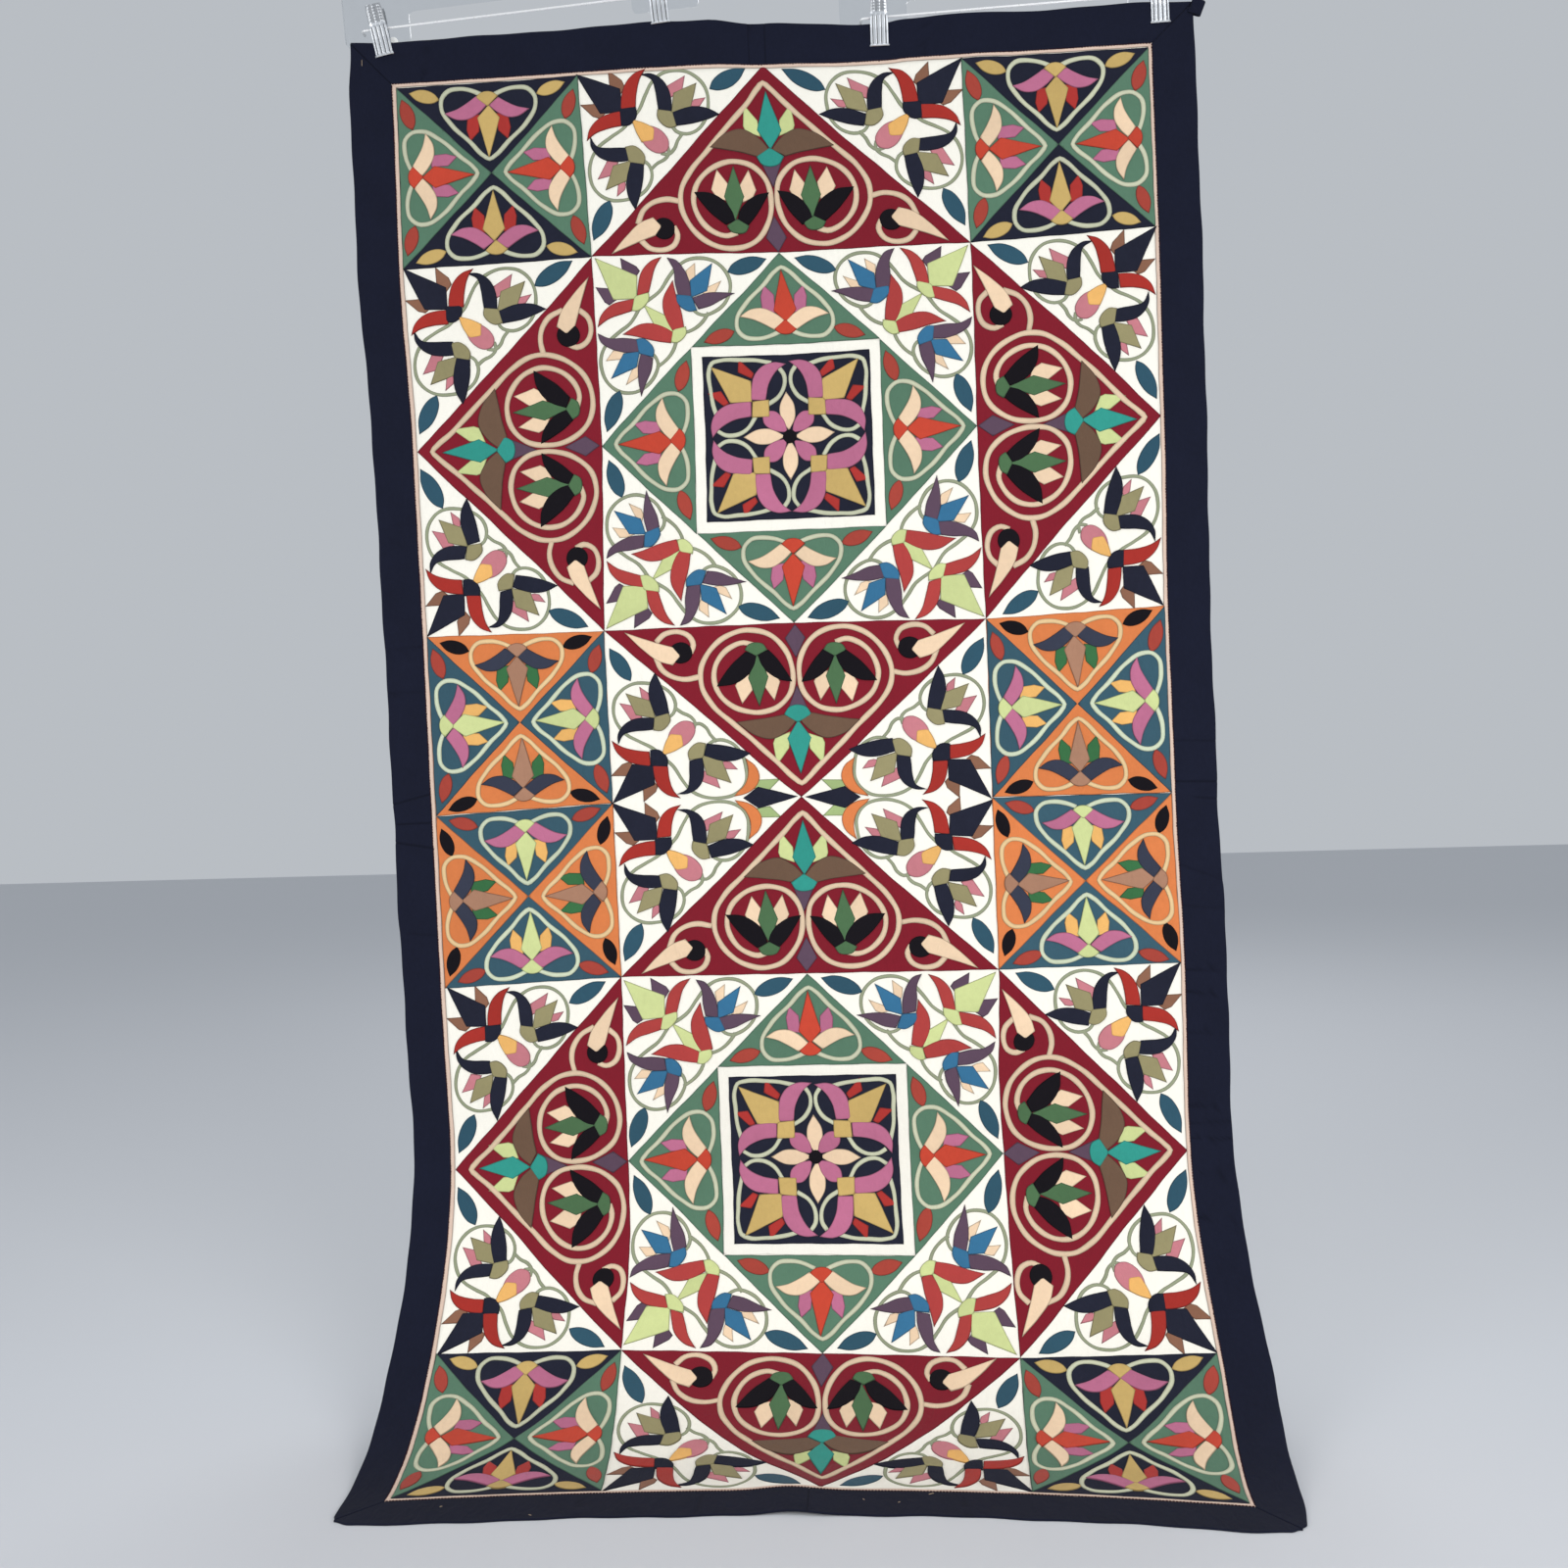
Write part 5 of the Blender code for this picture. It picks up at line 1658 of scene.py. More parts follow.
    def threads(self, work: Needlework) -> None:
        """The few pale thread ends that cling to the border.

        Args:
            work: The needlework to add to.
        """
        for x, y, right, up in self.lint:
            bent = np.array([(x, y), (x + right * 0.45, y + up * 0.55), (x + right, y + up)])
            work.strip(Dye.TAN, bent, self.lint_width, 0.001, 0.0005, "thread_ends")

    def borders(self) -> dict[str, Piece]:
        """The four border strips, each on a grid from its seam to its outer edge."""
        made = {"border_left": self.side_strip(-1, "border_left")}
        made["border_right"] = self.side_strip(1, "border_right")
        made["border_top"] = self.end_strip(0, "border_top", self.top_seams)
        made["border_bottom"] = self.end_strip(1, "border_bottom", self.bottom_seams)
        return made

    def between(self, low: float, high: float, part: np.ndarray) -> np.ndarray:
        """Places from low to high, both a hair inside for the mitres."""
        return low + self.mitre_gap + (high - low - 2 * self.mitre_gap) * part

    def side_strip(self, side: int, name: str) -> Piece:
        """The left or right border.

        Args:
            side: -1 for the left, 1 for the right.
            name: Which strip it is.

        Returns:
            The strip.
        """
        near = np.array(self.end_shares)
        creased = [self.stations(crease.place, crease.half, *self.seams_down) for crease in CREASES[name]]
        part = np.unique(np.concatenate([near, np.linspace(0.011, 0.989, 185), 1 - near, *creased]))
        inner = np.column_stack([np.full(len(part), side * self.seam), self.between(*self.seams_down, part)])
        t = self.between(*self.ends_down, part)
        reach = side * (self.seam - self.seam_gap + self.cloth.border_width(side, t))
        return self.band(name, inner, self.trimmed(np.column_stack([reach, t])), ())

    def end_strip(self, end: int, name: str, seams: tuple[float, ...]) -> Piece:
        """The top or bottom border.

        Args:
            end: 0 for the top, 1 for the bottom.
            name: Which strip it is.
            seams: Where along it cross seams lie.

        Returns:
            The strip.
        """
        cloth, seam = self.cloth, self.seam
        near = np.array(self.end_shares) * 2
        stations = [self.stations(place, self.seam_half, -seam, seam) for place in seams]
        stations += [self.stations(crease.place, crease.half, -seam, seam) for crease in CREASES[name]]
        if end == 0:
            stations.append(self.stations(cloth.bite_place(), cloth.bite_half * 0.5, -seam, seam))
        part = np.unique(np.concatenate([near, np.linspace(0.02, 0.98, 105), 1 - near, *stations]))
        inner_t, outer_t = self.seams_down[end], np.array([self.ends_down[end]])
        inner = np.column_stack([self.between(-seam, seam, part), np.full(len(part), inner_t)])
        left, right = (
            side * (seam - self.seam_gap + float(cloth.border_width(side, outer_t)[0])) for side in (-1, 1)
        )
        outer = np.column_stack([self.between(left, right, part), np.full(len(part), outer_t[0])])
        return self.band(name, inner, self.trimmed(outer), seams)

    def trimmed(self, outer: np.ndarray) -> np.ndarray:
        """Draws the outer edge in at the corners, where the border is rounded or pulled.

        Args:
            outer: Rows of s and t on the outer edge.

        Returns:
            The moved rows.
        """
        cloth = self.cloth
        moved = outer.copy()
        for trim in self.trims:
            t = self.ends_down[trim.end]
            width = float(cloth.border_width(trim.side, np.array([t]))[0])
            s = trim.side * (cloth.width / 2 + cloth.edging + width)
            near_s, near_t = (1 - smoothstep(np.abs(outer - (s, t)) / trim.reach)).T
            moved[:, 0] += trim.across * trim.side * (near_s * near_t)
            moved[:, 1] += trim.down * (1 if trim.end else -1) * (near_s * near_t)
        return moved

    def joints(self, work: Needlework) -> None:
        """The seam allowance inside each mitre, which closes it to the light.

        Args:
            work: The needlework to add to.
        """
        cloth = self.cloth
        half = cloth.width / 2 + cloth.edging
        for end in (0, 1):
            inner_t = cloth.height + cloth.edging if end else -cloth.edging
            outer_t = inner_t + (cloth.border_bottom if end else -cloth.border_top)
            for side in (-1, 1):
                reach = half + float(cloth.border_width(side, np.array([outer_t]))[0])
                inner = np.array([side * half, inner_t])
                outer = self.trimmed(np.array([[side * reach, outer_t]]))[0]
                for start, stop, width in self.joint_runs:
                    line = inner + (outer - inner) * np.linspace(start, stop, 12)[:, None]
                    work.strip(Dye.BORDER_NAVY, line * (1, -1), width, -0.0004, 0.0003, "joints")

    @staticmethod
    def stations(place: float, half: float, low: float, high: float) -> np.ndarray:
        """Shares of a strip's length, from low to high, at and beside a cross seam or crease."""
        offsets = np.array([-2.4, -1.6, -1.0, -0.5, 0.0, 0.5, 1.0, 1.6, 2.4]) * half
        return (place + offsets - low) / (high - low)

    def band(self, name: str, inner: np.ndarray, outer: np.ndarray, seams: tuple[float, ...]) -> Piece:
        """One border strip between two rows of s and t, with its seams, its creases and an uneven outer edge.

        Args:
            name: Which strip it is.
            inner: Rows of s and t along its seam.
            outer: Rows of s and t along its outer edge.
            seams: Where along it cross seams lie.

        Returns:
            The strip.
        """
        shares = np.array(self.out_shares)
        axis = 1 if name in ("border_left", "border_right") else 0
        run = outer[:, axis]
        loose = 2.2 if name == "border_bottom" else 1.0
        waver = (0.0006 * np.sin(run * 33) + 0.0004 * np.sin(run * 88 + 1.0)) * loose
        waver[0] = waver[-1] = 0.0
        away = outer - inner
        away /= np.linalg.norm(away, axis=1, keepdims=True)
        outer = outer + away * waver[:, None]
        grid = inner[:, None, :] + (outer - inner)[:, None, :] * shares[None, :, None]
        dips = np.zeros(grid.shape[:2])
        for seam in seams:
            off = np.abs(grid[:, :, 0] - seam)
            dips = np.maximum(dips, self.groove * (1 - smoothstep(off / self.seam_half)))
        for crease in CREASES[name]:
            off = grid[:, :, axis] - crease.place
            dips = dips + crease.shape(off, shares)
            lean = crease.slant * (shares - 0.5)[None, :]
            grid[:, :, axis] += lean * np.exp(-((off / self.slant_reach) ** 2))
        dips[0], dips[-1] = 0.0, 0.0
        flat = grid * np.array([1.0, -1.0])
        if name in ("border_left", "border_bottom"):
            flat, dips = flat[:, ::-1], dips[:, ::-1]
        return self.sheet(flat, self.border_half, dips)


class NodeBoard:
    """Adds and joins the nodes of one material or group."""

    def __init__(self, tree: bpy.types.NodeTree) -> None:
        """Keeps the tree that nodes are added to."""
        self.tree = tree

    def give(self, node: bpy.types.Node, **inputs: object) -> bpy.types.Node:
        """Fills a node's inputs.

        Args:
            node: The node.
            **inputs: Values, or sockets to join, by name with _ for a blank, or by number as n0, n1.

        Returns:
            The node.
        """
        for name, value in inputs.items():
            numbered = name[0] == "n" and name[1:].isdigit()
            key: int | str = int(name[1:]) if numbered else name.replace("_", " ")
            if isinstance(value, Socket):
                self.tree.links.new(value, node.inputs[key])
            else:
                node.inputs[key].default_value = value
        return node

    def add(self, kind: str, settings: dict | None = None, **inputs: object) -> bpy.types.Node:
        """Adds a node.

        Args:
            kind: The node's type.
            settings: Its own properties.
            **inputs: Its inputs, as in give.

        Returns:
            The node.
        """
        made = self.tree.nodes.new(kind)
        for name, value in (settings or {}).items():
            setattr(made, name, value)
        return self.give(made, **inputs)

    def math(self, operation: str, first: object, second: object = 0.0) -> Socket:
        """One step of arithmetic."""
        return self.add("ShaderNodeMath", {"operation": operation}, n0=first, n1=second).outputs[0]

    def shares(self, first: object, share: float, second: object) -> Socket:
        """A share of the first value with the rest of the second."""
        return self.math("ADD", self.math("MULTIPLY", first, share), self.math("MULTIPLY", second, 1 - share))

    def moved(self, place: object, by: object) -> Socket:
        """One vector added to another."""
        return self.add("ShaderNodeVectorMath", {"operation": "ADD"}, n0=place, n1=by).outputs[0]

    def scaled(self, vector: object, by: object) -> Socket:
        """A vector or colour times a value."""
        return self.add("ShaderNodeVectorMath", {"operation": "SCALE"}, n0=vector, Scale=by).outputs[0]

    def noise(self, place: object, scale: float, detail: float, **more: object) -> Socket:
        """A noise value at a place."""
        return self.add("ShaderNodeTexNoise", n0=place, Scale=scale, Detail=detail, **more).outputs[0]

    def spread(self, value: object, run: Point, new_run: Point) -> Socket:
        """A value in one run, spread over a new run."""
        sides = {"n1": run[0], "n2": run[1], "n3": new_run[0], "n4": new_run[1]}
        return self.add("ShaderNodeMapRange", n0=value, **sides).outputs[0]

    def blend(self, share: object, first: object, second: object) -> Socket:
        """A colour a share of the way from the first to the second."""
        return self.add("ShaderNodeMix", {"data_type": "RGBA"}, n0=share, n6=first, n7=second).outputs[2]

    def attribute(self, name: str) -> Socket:
        """A value stored on the mesh."""
        return self.add("ShaderNodeAttribute", {"attribute_name": name}).outputs["Fac"]

    def bump(self, **inputs: object) -> Socket:
        """A normal bent by a height."""
        return self.add("ShaderNodeBump", **inputs).outputs[0]

    def group(self, name: str, build: Callable, **inputs: object) -> bpy.types.bpy_prop_collection:
        """The outputs of the shared group of this name, which is built on first use."""
        tree = bpy.data.node_groups.get(name) or build(name)
        return self.add("ShaderNodeGroup", {"node_tree": tree}, **inputs).outputs


def start_group(name: str, inputs: dict[str, str], outputs: tuple[str, ...]) -> NodeBoard:
    """An empty shader group.

    Args:
        name: Its name.
        inputs: The name and kind of each input.
        outputs: The names of its outputs, all values.

    Returns:
        A board for its nodes.
    """
    group = bpy.data.node_groups.new(name, "ShaderNodeTree")
    for label, kind in inputs.items():
        group.interface.new_socket(label, in_out="INPUT", socket_type=kind)
    for label in outputs:
        group.interface.new_socket(label, in_out="OUTPUT", socket_type="NodeSocketFloat")
    return NodeBoard(group)


def weave_group(name: str) -> bpy.types.NodeTree:
    """Plain weave: a height and a shade from two crossed sets of threads that wander a little.

    Args:
        name: Its name.

    Returns:
        The group.
    """
    inputs = {"Vector": "NodeSocketVector", "Threads": "NodeSocketFloat"}
    board = start_group(name, inputs, ("Height", "Shade"))
    given = board.add("NodeGroupInput").outputs
    wander = board.add("ShaderNodeTexNoise", n0=given["Vector"], Scale=420.0, Detail=2.0)
    moved = board.moved(given["Vector"], board.scaled(wander.outputs["Color"], 0.0007))
    parts = board.add("ShaderNodeSeparateXYZ", n0=moved).outputs
    waves = []
    for axis in (0, 1):
        turns = board.math("MULTIPLY", parts[axis], given["Threads"])
        waves.append(board.math("SINE", board.math("MULTIPLY", turns, math.pi)))
    warp, weft = (board.math("ABSOLUTE", wave) for wave in waves)
    over = board.math("GREATER_THAN", board.math("MULTIPLY", *waves), 0.0)
    height = board.add("ShaderNodeMix", {"data_type": "FLOAT"}, n0=over, n2=weft, n3=warp).outputs[0]
    slub = board.noise(given["Vector"], 900.0, 3.0)
    board.add("NodeGroupOutput", n0=height, n1=board.shares(height, 0.45, slub))
    return board.tree


def mottle_group(name: str) -> bpy.types.NodeTree:
    """Uneven dye and soft puckers: a shade and a pucker height.

    Args:
        name: Its name.

    Returns:
        The group.
    """
    inputs = {"Vector": "NodeSocketVector", "Tone": "NodeSocketFloat"}
    board = start_group(name, inputs, ("Shade", "Pucker"))
    given = board.add("NodeGroupInput").outputs
    aside = board.add("ShaderNodeCombineXYZ", n0=0.0, n1=0.0, n2=given["Tone"]).outputs[0]
    moved = board.moved(given["Vector"], aside)
    shade = board.shares(board.noise(moved, 22.0, 3.0), 0.55, board.noise(moved, 170.0, 4.0))
    long_way = board.add("ShaderNodeMapping", n0=moved, Scale=(1.0, 0.45, 1.0)).outputs[0]
    board.add("NodeGroupOutput", n0=shade, n1=board.noise(long_way, 95.0, 2.0, Distortion=0.6))
    return board.tree


def start_material(name: str) -> tuple[bpy.types.Material, NodeBoard, bpy.types.Node]:
    """A new material.

    Args:
        name: Its name.

    Returns:
        The material, a board for its nodes, and its shader.
    """
    made = bpy.data.materials.new(name)
    made.use_nodes = True
    return made, NodeBoard(made.node_tree), made.node_tree.nodes["Principled BSDF"]


def tinted(colour: tuple[int, int, int], by: float) -> tuple[float, ...]:
    """A colour as seen, made lighter or darker, as linear values with full alpha."""
    return (*(min(part * by, 1.0) for part in linear(colour)[:3]), 1.0)


@dataclass(frozen=True)
class Cotton:
    """One dyed cotton: its colour, how uneven it is, how far painted shade and some dirt darken its turned
    edges, and how it shines.
    """

    dye: Dye
    uneven: float = 0.16
    edge_dark: float = 0.62
    roughness: float = 0.88
    sheen: float = 0.10
    gloss: float = 0.22
    threads: float = 1400.0

    @classmethod
    def dyed(cls, dye: Dye) -> bpy.types.Material:
        """The material of one dye, built on first use: pale ones are more even, dark ones duller.

        Args:
            dye: The dye.

        Returns:
            The material.
        """
        depth = sum(dye.value)
        if dye is Dye.CREAM:
            cotton = cls(dye, uneven=0.05, edge_dark=0.22)
        elif depth > 600:
            cotton = cls(dye, uneven=0.05, edge_dark=0.42)
        elif depth < 160:
            cotton = cls(dye, uneven=0.34, edge_dark=0.60, sheen=0.03, gloss=0.10)
        else:
            cotton = cls(dye)
        name = "cotton_" + dye.name.lower()
        return bpy.data.materials.get(name) or cotton.material(name)

    def material(self, name: str) -> bpy.types.Material:
        """Builds the material.

        Args:
            name: Its name.

        Returns:
            The material.
        """
        made, board, shader = start_material(name)
        place = board.add("ShaderNodeUVMap", {"uv_map": "cloth"}).outputs[0]
        edge, tone = board.attribute("edge"), board.attribute("tone")
        weave = board.group("plain_weave", weave_group, Vector=place, Threads=self.threads)
        dye = board.group("uneven_dye", mottle_group, Vector=place, Tone=tone)
        shades = (tinted(self.dye.value, by) for by in (1 - self.uneven, 1 + self.uneven * 0.8))
        threads = board.spread(weave["Shade"], (0.2, 0.8), (0.93, 1.05))
        patch_tone = board.spread(tone, (0.0, 1.0), (0.94, 1.06))
        # Painted shade, with some dirt at stitched edges, darkens the turned edges, the strips' sides and the
        # border's rims, mitres, seams and creases.
        rim = board.spread(edge, (0.0, 1.0), (1.0, 1.0 - self.edge_dark))
        total = board.math("MULTIPLY", board.math("MULTIPLY", threads, patch_tone), rim)
        puckers = board.bump(Strength=0.7, Distance=0.002, Height=dye["Pucker"])
        board.give(
            shader,
            Base_Color=board.scaled(board.blend(dye["Shade"], *shades), total),
            Normal=board.bump(Strength=0.35, Distance=0.00018, Height=weave["Height"], Normal=puckers),
            Roughness=board.spread(dye["Shade"], (0.2, 0.8), (self.roughness, 0.97)),
            Sheen_Weight=self.sheen,
            Sheen_Roughness=0.5,
            Specular_IOR_Level=self.gloss,
        )
        return made


@dataclass(frozen=True)
class Metal:
    """Bright plated steel with fine wear, soft smudges and a slight drawn grain."""

    name: str
    colour: tuple[int, int, int] = (222, 225, 229)
    roughness: float = 0.30
    bare: float = 1.0

    def material(self) -> bpy.types.Material:
        """Builds the material."""
        made, board, shader = start_material(self.name)
        place = board.add("ShaderNodeTexCoord").outputs["Object"]
        smudge, grain = board.noise(place, 160.0, 4.0), board.noise(place, 2600.0, 2.0)
        tint = board.blend(smudge, linear(self.colour), tinted(self.colour, 0.86))
        # Painted shade in the clip's grooves and grip, and a painted highlight on its lips, from the hollow
        # attribute.
        painted_shade_and_highlight = board.math("SUBTRACT", 1.0, board.math("MULTIPLY", board.attribute("hollow"), 0.86))
        wear = board.shares(smudge, 0.7, grain)
        board.give(
            shader,
            Base_Color=board.scaled(tint, painted_shade_and_highlight),
            Normal=board.bump(Strength=0.05, Distance=0.0001, Height=grain),
            Roughness=board.spread(wear, (0.3, 0.7), (self.roughness * 0.8, self.roughness * 1.3)),
            Metallic=self.bare,
        )
        return made


@dataclass(frozen=True)
class Plastic:
    """Moulded plastic, clear or pale, with faint scuffs."""

    name: str
    colour: tuple[int, int, int]
    clear: float
    roughness: float = 0.10
    bending: float = 1.49

    def material(self) -> bpy.types.Material:
        """Builds the material."""
        made, board, shader = start_material(self.name)
        scuff = board.noise(board.add("ShaderNodeTexCoord").outputs["Object"], 90.0, 5.0)
        board.give(
            shader,
            Base_Color=board.blend(scuff, linear(self.colour), tinted(self.colour, 0.93)),
            Normal=board.bump(Strength=0.1, Distance=0.0002, Height=scuff),
            Roughness=board.spread(scuff, (0.35, 0.7), (self.roughness * 0.5, self.roughness * 2)),
            Transmission_Weight=self.clear,
            IOR=self.bending,
        )
        return made


def activate(*pieces: bpy.types.Object) -> None:
    """Selects only these pieces, in object mode, the first of them active."""
    if bpy.context.mode != "OBJECT":
        bpy.ops.object.mode_set(mode="OBJECT")
    bpy.ops.object.select_all(action="DESELECT")
    for piece in reversed(pieces):
        piece.select_set(True)
        bpy.context.view_layer.objects.active = piece


def apply_modifiers(piece: bpy.types.Object) -> None:
    """Applies every modifier of a piece, in order.

    Args:
        piece: The piece.
    """
    activate(piece)
    for modifier in list(piece.modifiers):
        bpy.ops.object.modifier_apply(modifier=modifier.name)


def thicken(piece: bpy.types.Object, thickness: float) -> None:
    """Gives a sheet its thickness, half on each side.

    Args:
        piece: The sheet.
        thickness: Its thickness.
    """
    solid = piece.modifiers.new("thickness", "SOLIDIFY")
    solid.thickness = thickness
    solid.offset = 0.0
    apply_modifiers(piece)


def round_edges(piece: bpy.types.Object, width: float, least_deg: float = 30.0) -> None:
    """Rounds the edges where a piece turns by more than an angle.

    Args:
        piece: The piece.
        width: How far in each edge is cut.
        least_deg: The angle.
    """
    bevel = piece.modifiers.new("rounded", "BEVEL")
    bevel.width = width
    bevel.segments = 3
    bevel.limit_method = "ANGLE"
    bevel.angle_limit = math.radians(least_deg)
    apply_modifiers(piece)


def shade_smooth(piece: bpy.types.Object, angle_deg: float) -> None:
    """Shades a piece smooth but for its sharp edges."""
    activate(piece)
    bpy.ops.object.shade_smooth_by_angle(angle=math.radians(angle_deg))


def settle(piece: bpy.types.Object, matrix: Matrix, material: bpy.types.Material) -> bpy.types.Object:
    """Puts a piece's place into its mesh and dresses it.

    Args:
        piece: The piece.
        matrix: Where its own frame lies.
        material: What it is made of.

    Returns:
        The piece.
    """
    piece.data.transform(matrix @ piece.matrix_world)
    piece.matrix_world = Matrix.Identity(4)
    piece.data.materials.clear()
    piece.data.materials.append(material)
    piece.data.update()
    return piece


@dataclass(frozen=True)
class ClipMaker:
    """Makes the four sprung clips: two pressed leaves with ribs, a knurled grip and lips, and a coil.

    The hollows give the painted shade in the bottoms of the grooves and of the grip, and, below nought, the
    painted highlight on the lips.
    """

    sizes: HangerSizes
    leaf_line: Points = (
        (-0.033, 0.00345), (-0.0308, 0.00185), (-0.012, 0.0034), (0.0000, 0.00495), (0.008, 0.0062),
        (0.027, 0.0094),
    )
    thickness: float = 0.0009
    waist: float = 0.07
    lip_flare: float = 0.13
    lip_height: float = 0.0032
    lip_blend: float = 0.0024
    corner_cut: float = 0.10
    roll: float = 0.0011
    grooves: tuple[float, ...] = (-0.74, -0.25, 0.25, 0.74)
    groove_half: float = 0.10
    columns: int = 3
    rib_rise: float = 0.00050
    rib_top: float = 0.004
    bead_rise: float = 0.00060
    bead_pitch: float = 0.0034
    grip_painted_shade: float = 0.55
    lip_painted_highlight: float = -0.7
    cushion_size: tuple[float, float] = (0.0011, 0.0065)
    cushion_share: float = 0.86
    cushion_place: Triple = (0.0, 0.00235, -0.0286)
    tab: Triple = (0.0122, 0.0046, -0.0174)
    tab_radius: float = 0.0064
    tab_thickness: float = 0.0013
    coil_wire: float = 0.00055
    coil_turns: int = 6
    coil_share: float = 0.78

    def pressed(self, across: float, up: float) -> tuple[float, float, float, float]:
        """A place on a leaf.

        Args:
            across: Its place aside of the middle, in half-widths.
            up: Its share of the way from the lip to the grip's end.

        Returns:
            Its x, how far it lies from the jaw's middle plane, its z and its hollow, which is painted shade
            when above nought and a painted highlight when below.
        """
        line = np.array(self.leaf_line)
        z = line[0, 0] + (line[-1, 0] - line[0, 0]) * up
        lip = ease((line[0, 0] + self.lip_height - z) / self.lip_blend)
        flare = 1 - self.waist * ease((z + 0.01) / 0.035) + self.lip_flare * lip
        corner = ease((up - 0.9) / 0.1) * self.corner_cut * abs(across) ** 4
        lower = ease((self.rib_top - z) / 0.003) * (1 - lip)
        upper = ease((z - self.rib_top - 0.001) / 0.002)
        groove = max(1 - ease(abs(across - at) / self.groove_half - 0.35) for at in self.grooves)
        column = max(0.0, math.cos(across * math.pi * self.columns)) ** 0.8
        bead = column * max(0.0, math.cos((z - self.rib_top) / self.bead_pitch * math.tau)) ** 0.8
        rise = self.rib_rise * lower * (1 - groove) + self.bead_rise * upper * bead
        out = float(np.interp(z, line[:, 0], line[:, 1])) + rise - self.roll * abs(across) ** 6
        # Painted shade in the groove bottoms and between the grip's beads, and a painted highlight on the
        # lip.
        hollow = lower * groove + upper * (1 - bead) * self.grip_painted_shade + lip * self.lip_painted_highlight
        return across * self.sizes.clip_width / 2 * flare * (1 - corner), out, z, hollow

    def leaf(self, name: str, front: bool) -> bpy.types.Object:
        """One leaf, the front or the back one, pressed from a grid of steel and given its thickness.

        Args:
            name: Its name.
            front: Whether it is the front one.

        Returns:
            The leaf.
        """
        activate()
        bpy.ops.mesh.primitive_grid_add(x_subdivisions=56, y_subdivisions=60, size=1.0)
        made = bpy.context.active_object
        made.name = name
        hollows = []
        for vertex in made.data.vertices:
            x, out, z, hollow = self.pressed(vertex.co.x * 2, vertex.co.y + 0.5)
            vertex.co = (x, -out if front else out, z)
            hollows.append(hollow)
        layer = made.data.attributes.new("hollow", "FLOAT", "POINT")
        layer.data.foreach_set("value", np.array(hollows, np.float32))
        thicken(made, self.thickness)
        return made

    def coil(self) -> bpy.types.Object:
        """The torsion spring round the bar, wound by a screw."""
        activate()
        bpy.ops.mesh.primitive_circle_add(vertices=10, radius=self.coil_wire, rotation=(math.pi / 2, 0, 0))
        made = bpy.context.active_object
        bpy.ops.object.transform_apply(location=False, rotation=True, scale=False)
        radius = self.sizes.bore_radius - self.coil_wire * 0.2
        length = self.sizes.clip_width * self.coil_share
        made.data.transform(Matrix.Translation((radius, 0, -length / 2)))
        screw = made.modifiers.new("wound", "SCREW")
        screw.axis = "Z"
        screw.steps = screw.render_steps = 20
        screw.iterations = self.coil_turns
        screw.screw_offset = length / self.coil_turns
        screw.use_merge_vertices = False
        apply_modifiers(made)
        bpy.ops.object.mode_set(mode="EDIT")
        bpy.ops.mesh.select_all(action="SELECT")
        bpy.ops.mesh.fill_holes(sides=0)
        bpy.ops.mesh.normals_make_consistent(inside=False)
        bpy.ops.object.mode_set(mode="OBJECT")
        made.data.transform(Matrix.Rotation(math.pi / 2, 4, "Y"))
        return made

    def cushion(self) -> bpy.types.Object:
        """The soft tip on the jaw's inner side, rounded from a block."""
        activate()
        bpy.ops.mesh.primitive_cube_add(size=1.0)
        made = bpy.context.active_object
        size = (self.sizes.clip_width * self.cushion_share, *self.cushion_size, 1.0)
        made.data.transform(Matrix.Diagonal(size))
        round_edges(made, 0.00045)
        made.data.transform(Matrix.Translation(self.cushion_place))
        return made

    def side_tab(self) -> bpy.types.Object:
        """The round soft tab that shows beside the first clip, behind the cloth's edge."""
        activate()
        size = {"radius": self.tab_radius, "depth": self.tab_thickness}
        bpy.ops.mesh.primitive_cylinder_add(vertices=40, rotation=(math.pi / 2, 0, 0), **size)
        made = bpy.context.active_object
        bpy.ops.object.transform_apply(location=False, rotation=True, scale=False)
        round_edges(made, 0.0004)
        made.data.transform(Matrix.Translation(self.tab))
        return made

    def make(self) -> list[bpy.types.Object]:
        """Makes the clips and places each on its bar."""
        metal = Metal("clip_steel", bare=0.85).material()
        soft = Plastic("jaw_cushion", (248, 248, 245), 0.0, 0.35).material()
        found = []
        for number, clip in enumerate(self.sizes.clips, 1):
            parts = [self.leaf(f"clip_{number}_steel", True), self.leaf("back", False), self.coil()]
            activate(*parts)
            bpy.ops.object.join()
            body = settle(parts[0], self.sizes.clip_frame(clip), metal)
            shade_smooth(body, 50)
            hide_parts(f"clip_{number}")
            pad = settle(self.cushion(), self.sizes.clip_frame(clip), soft)
            pad.name = f"clip_{number}_cushion"
            found += [body, pad]
            LOG.info("made clip %s", number)
        tab = settle(self.side_tab(), self.sizes.clip_frame(self.sizes.clips[0]), soft)
        tab.name = "clip_1_tab"
        return [*found, tab]


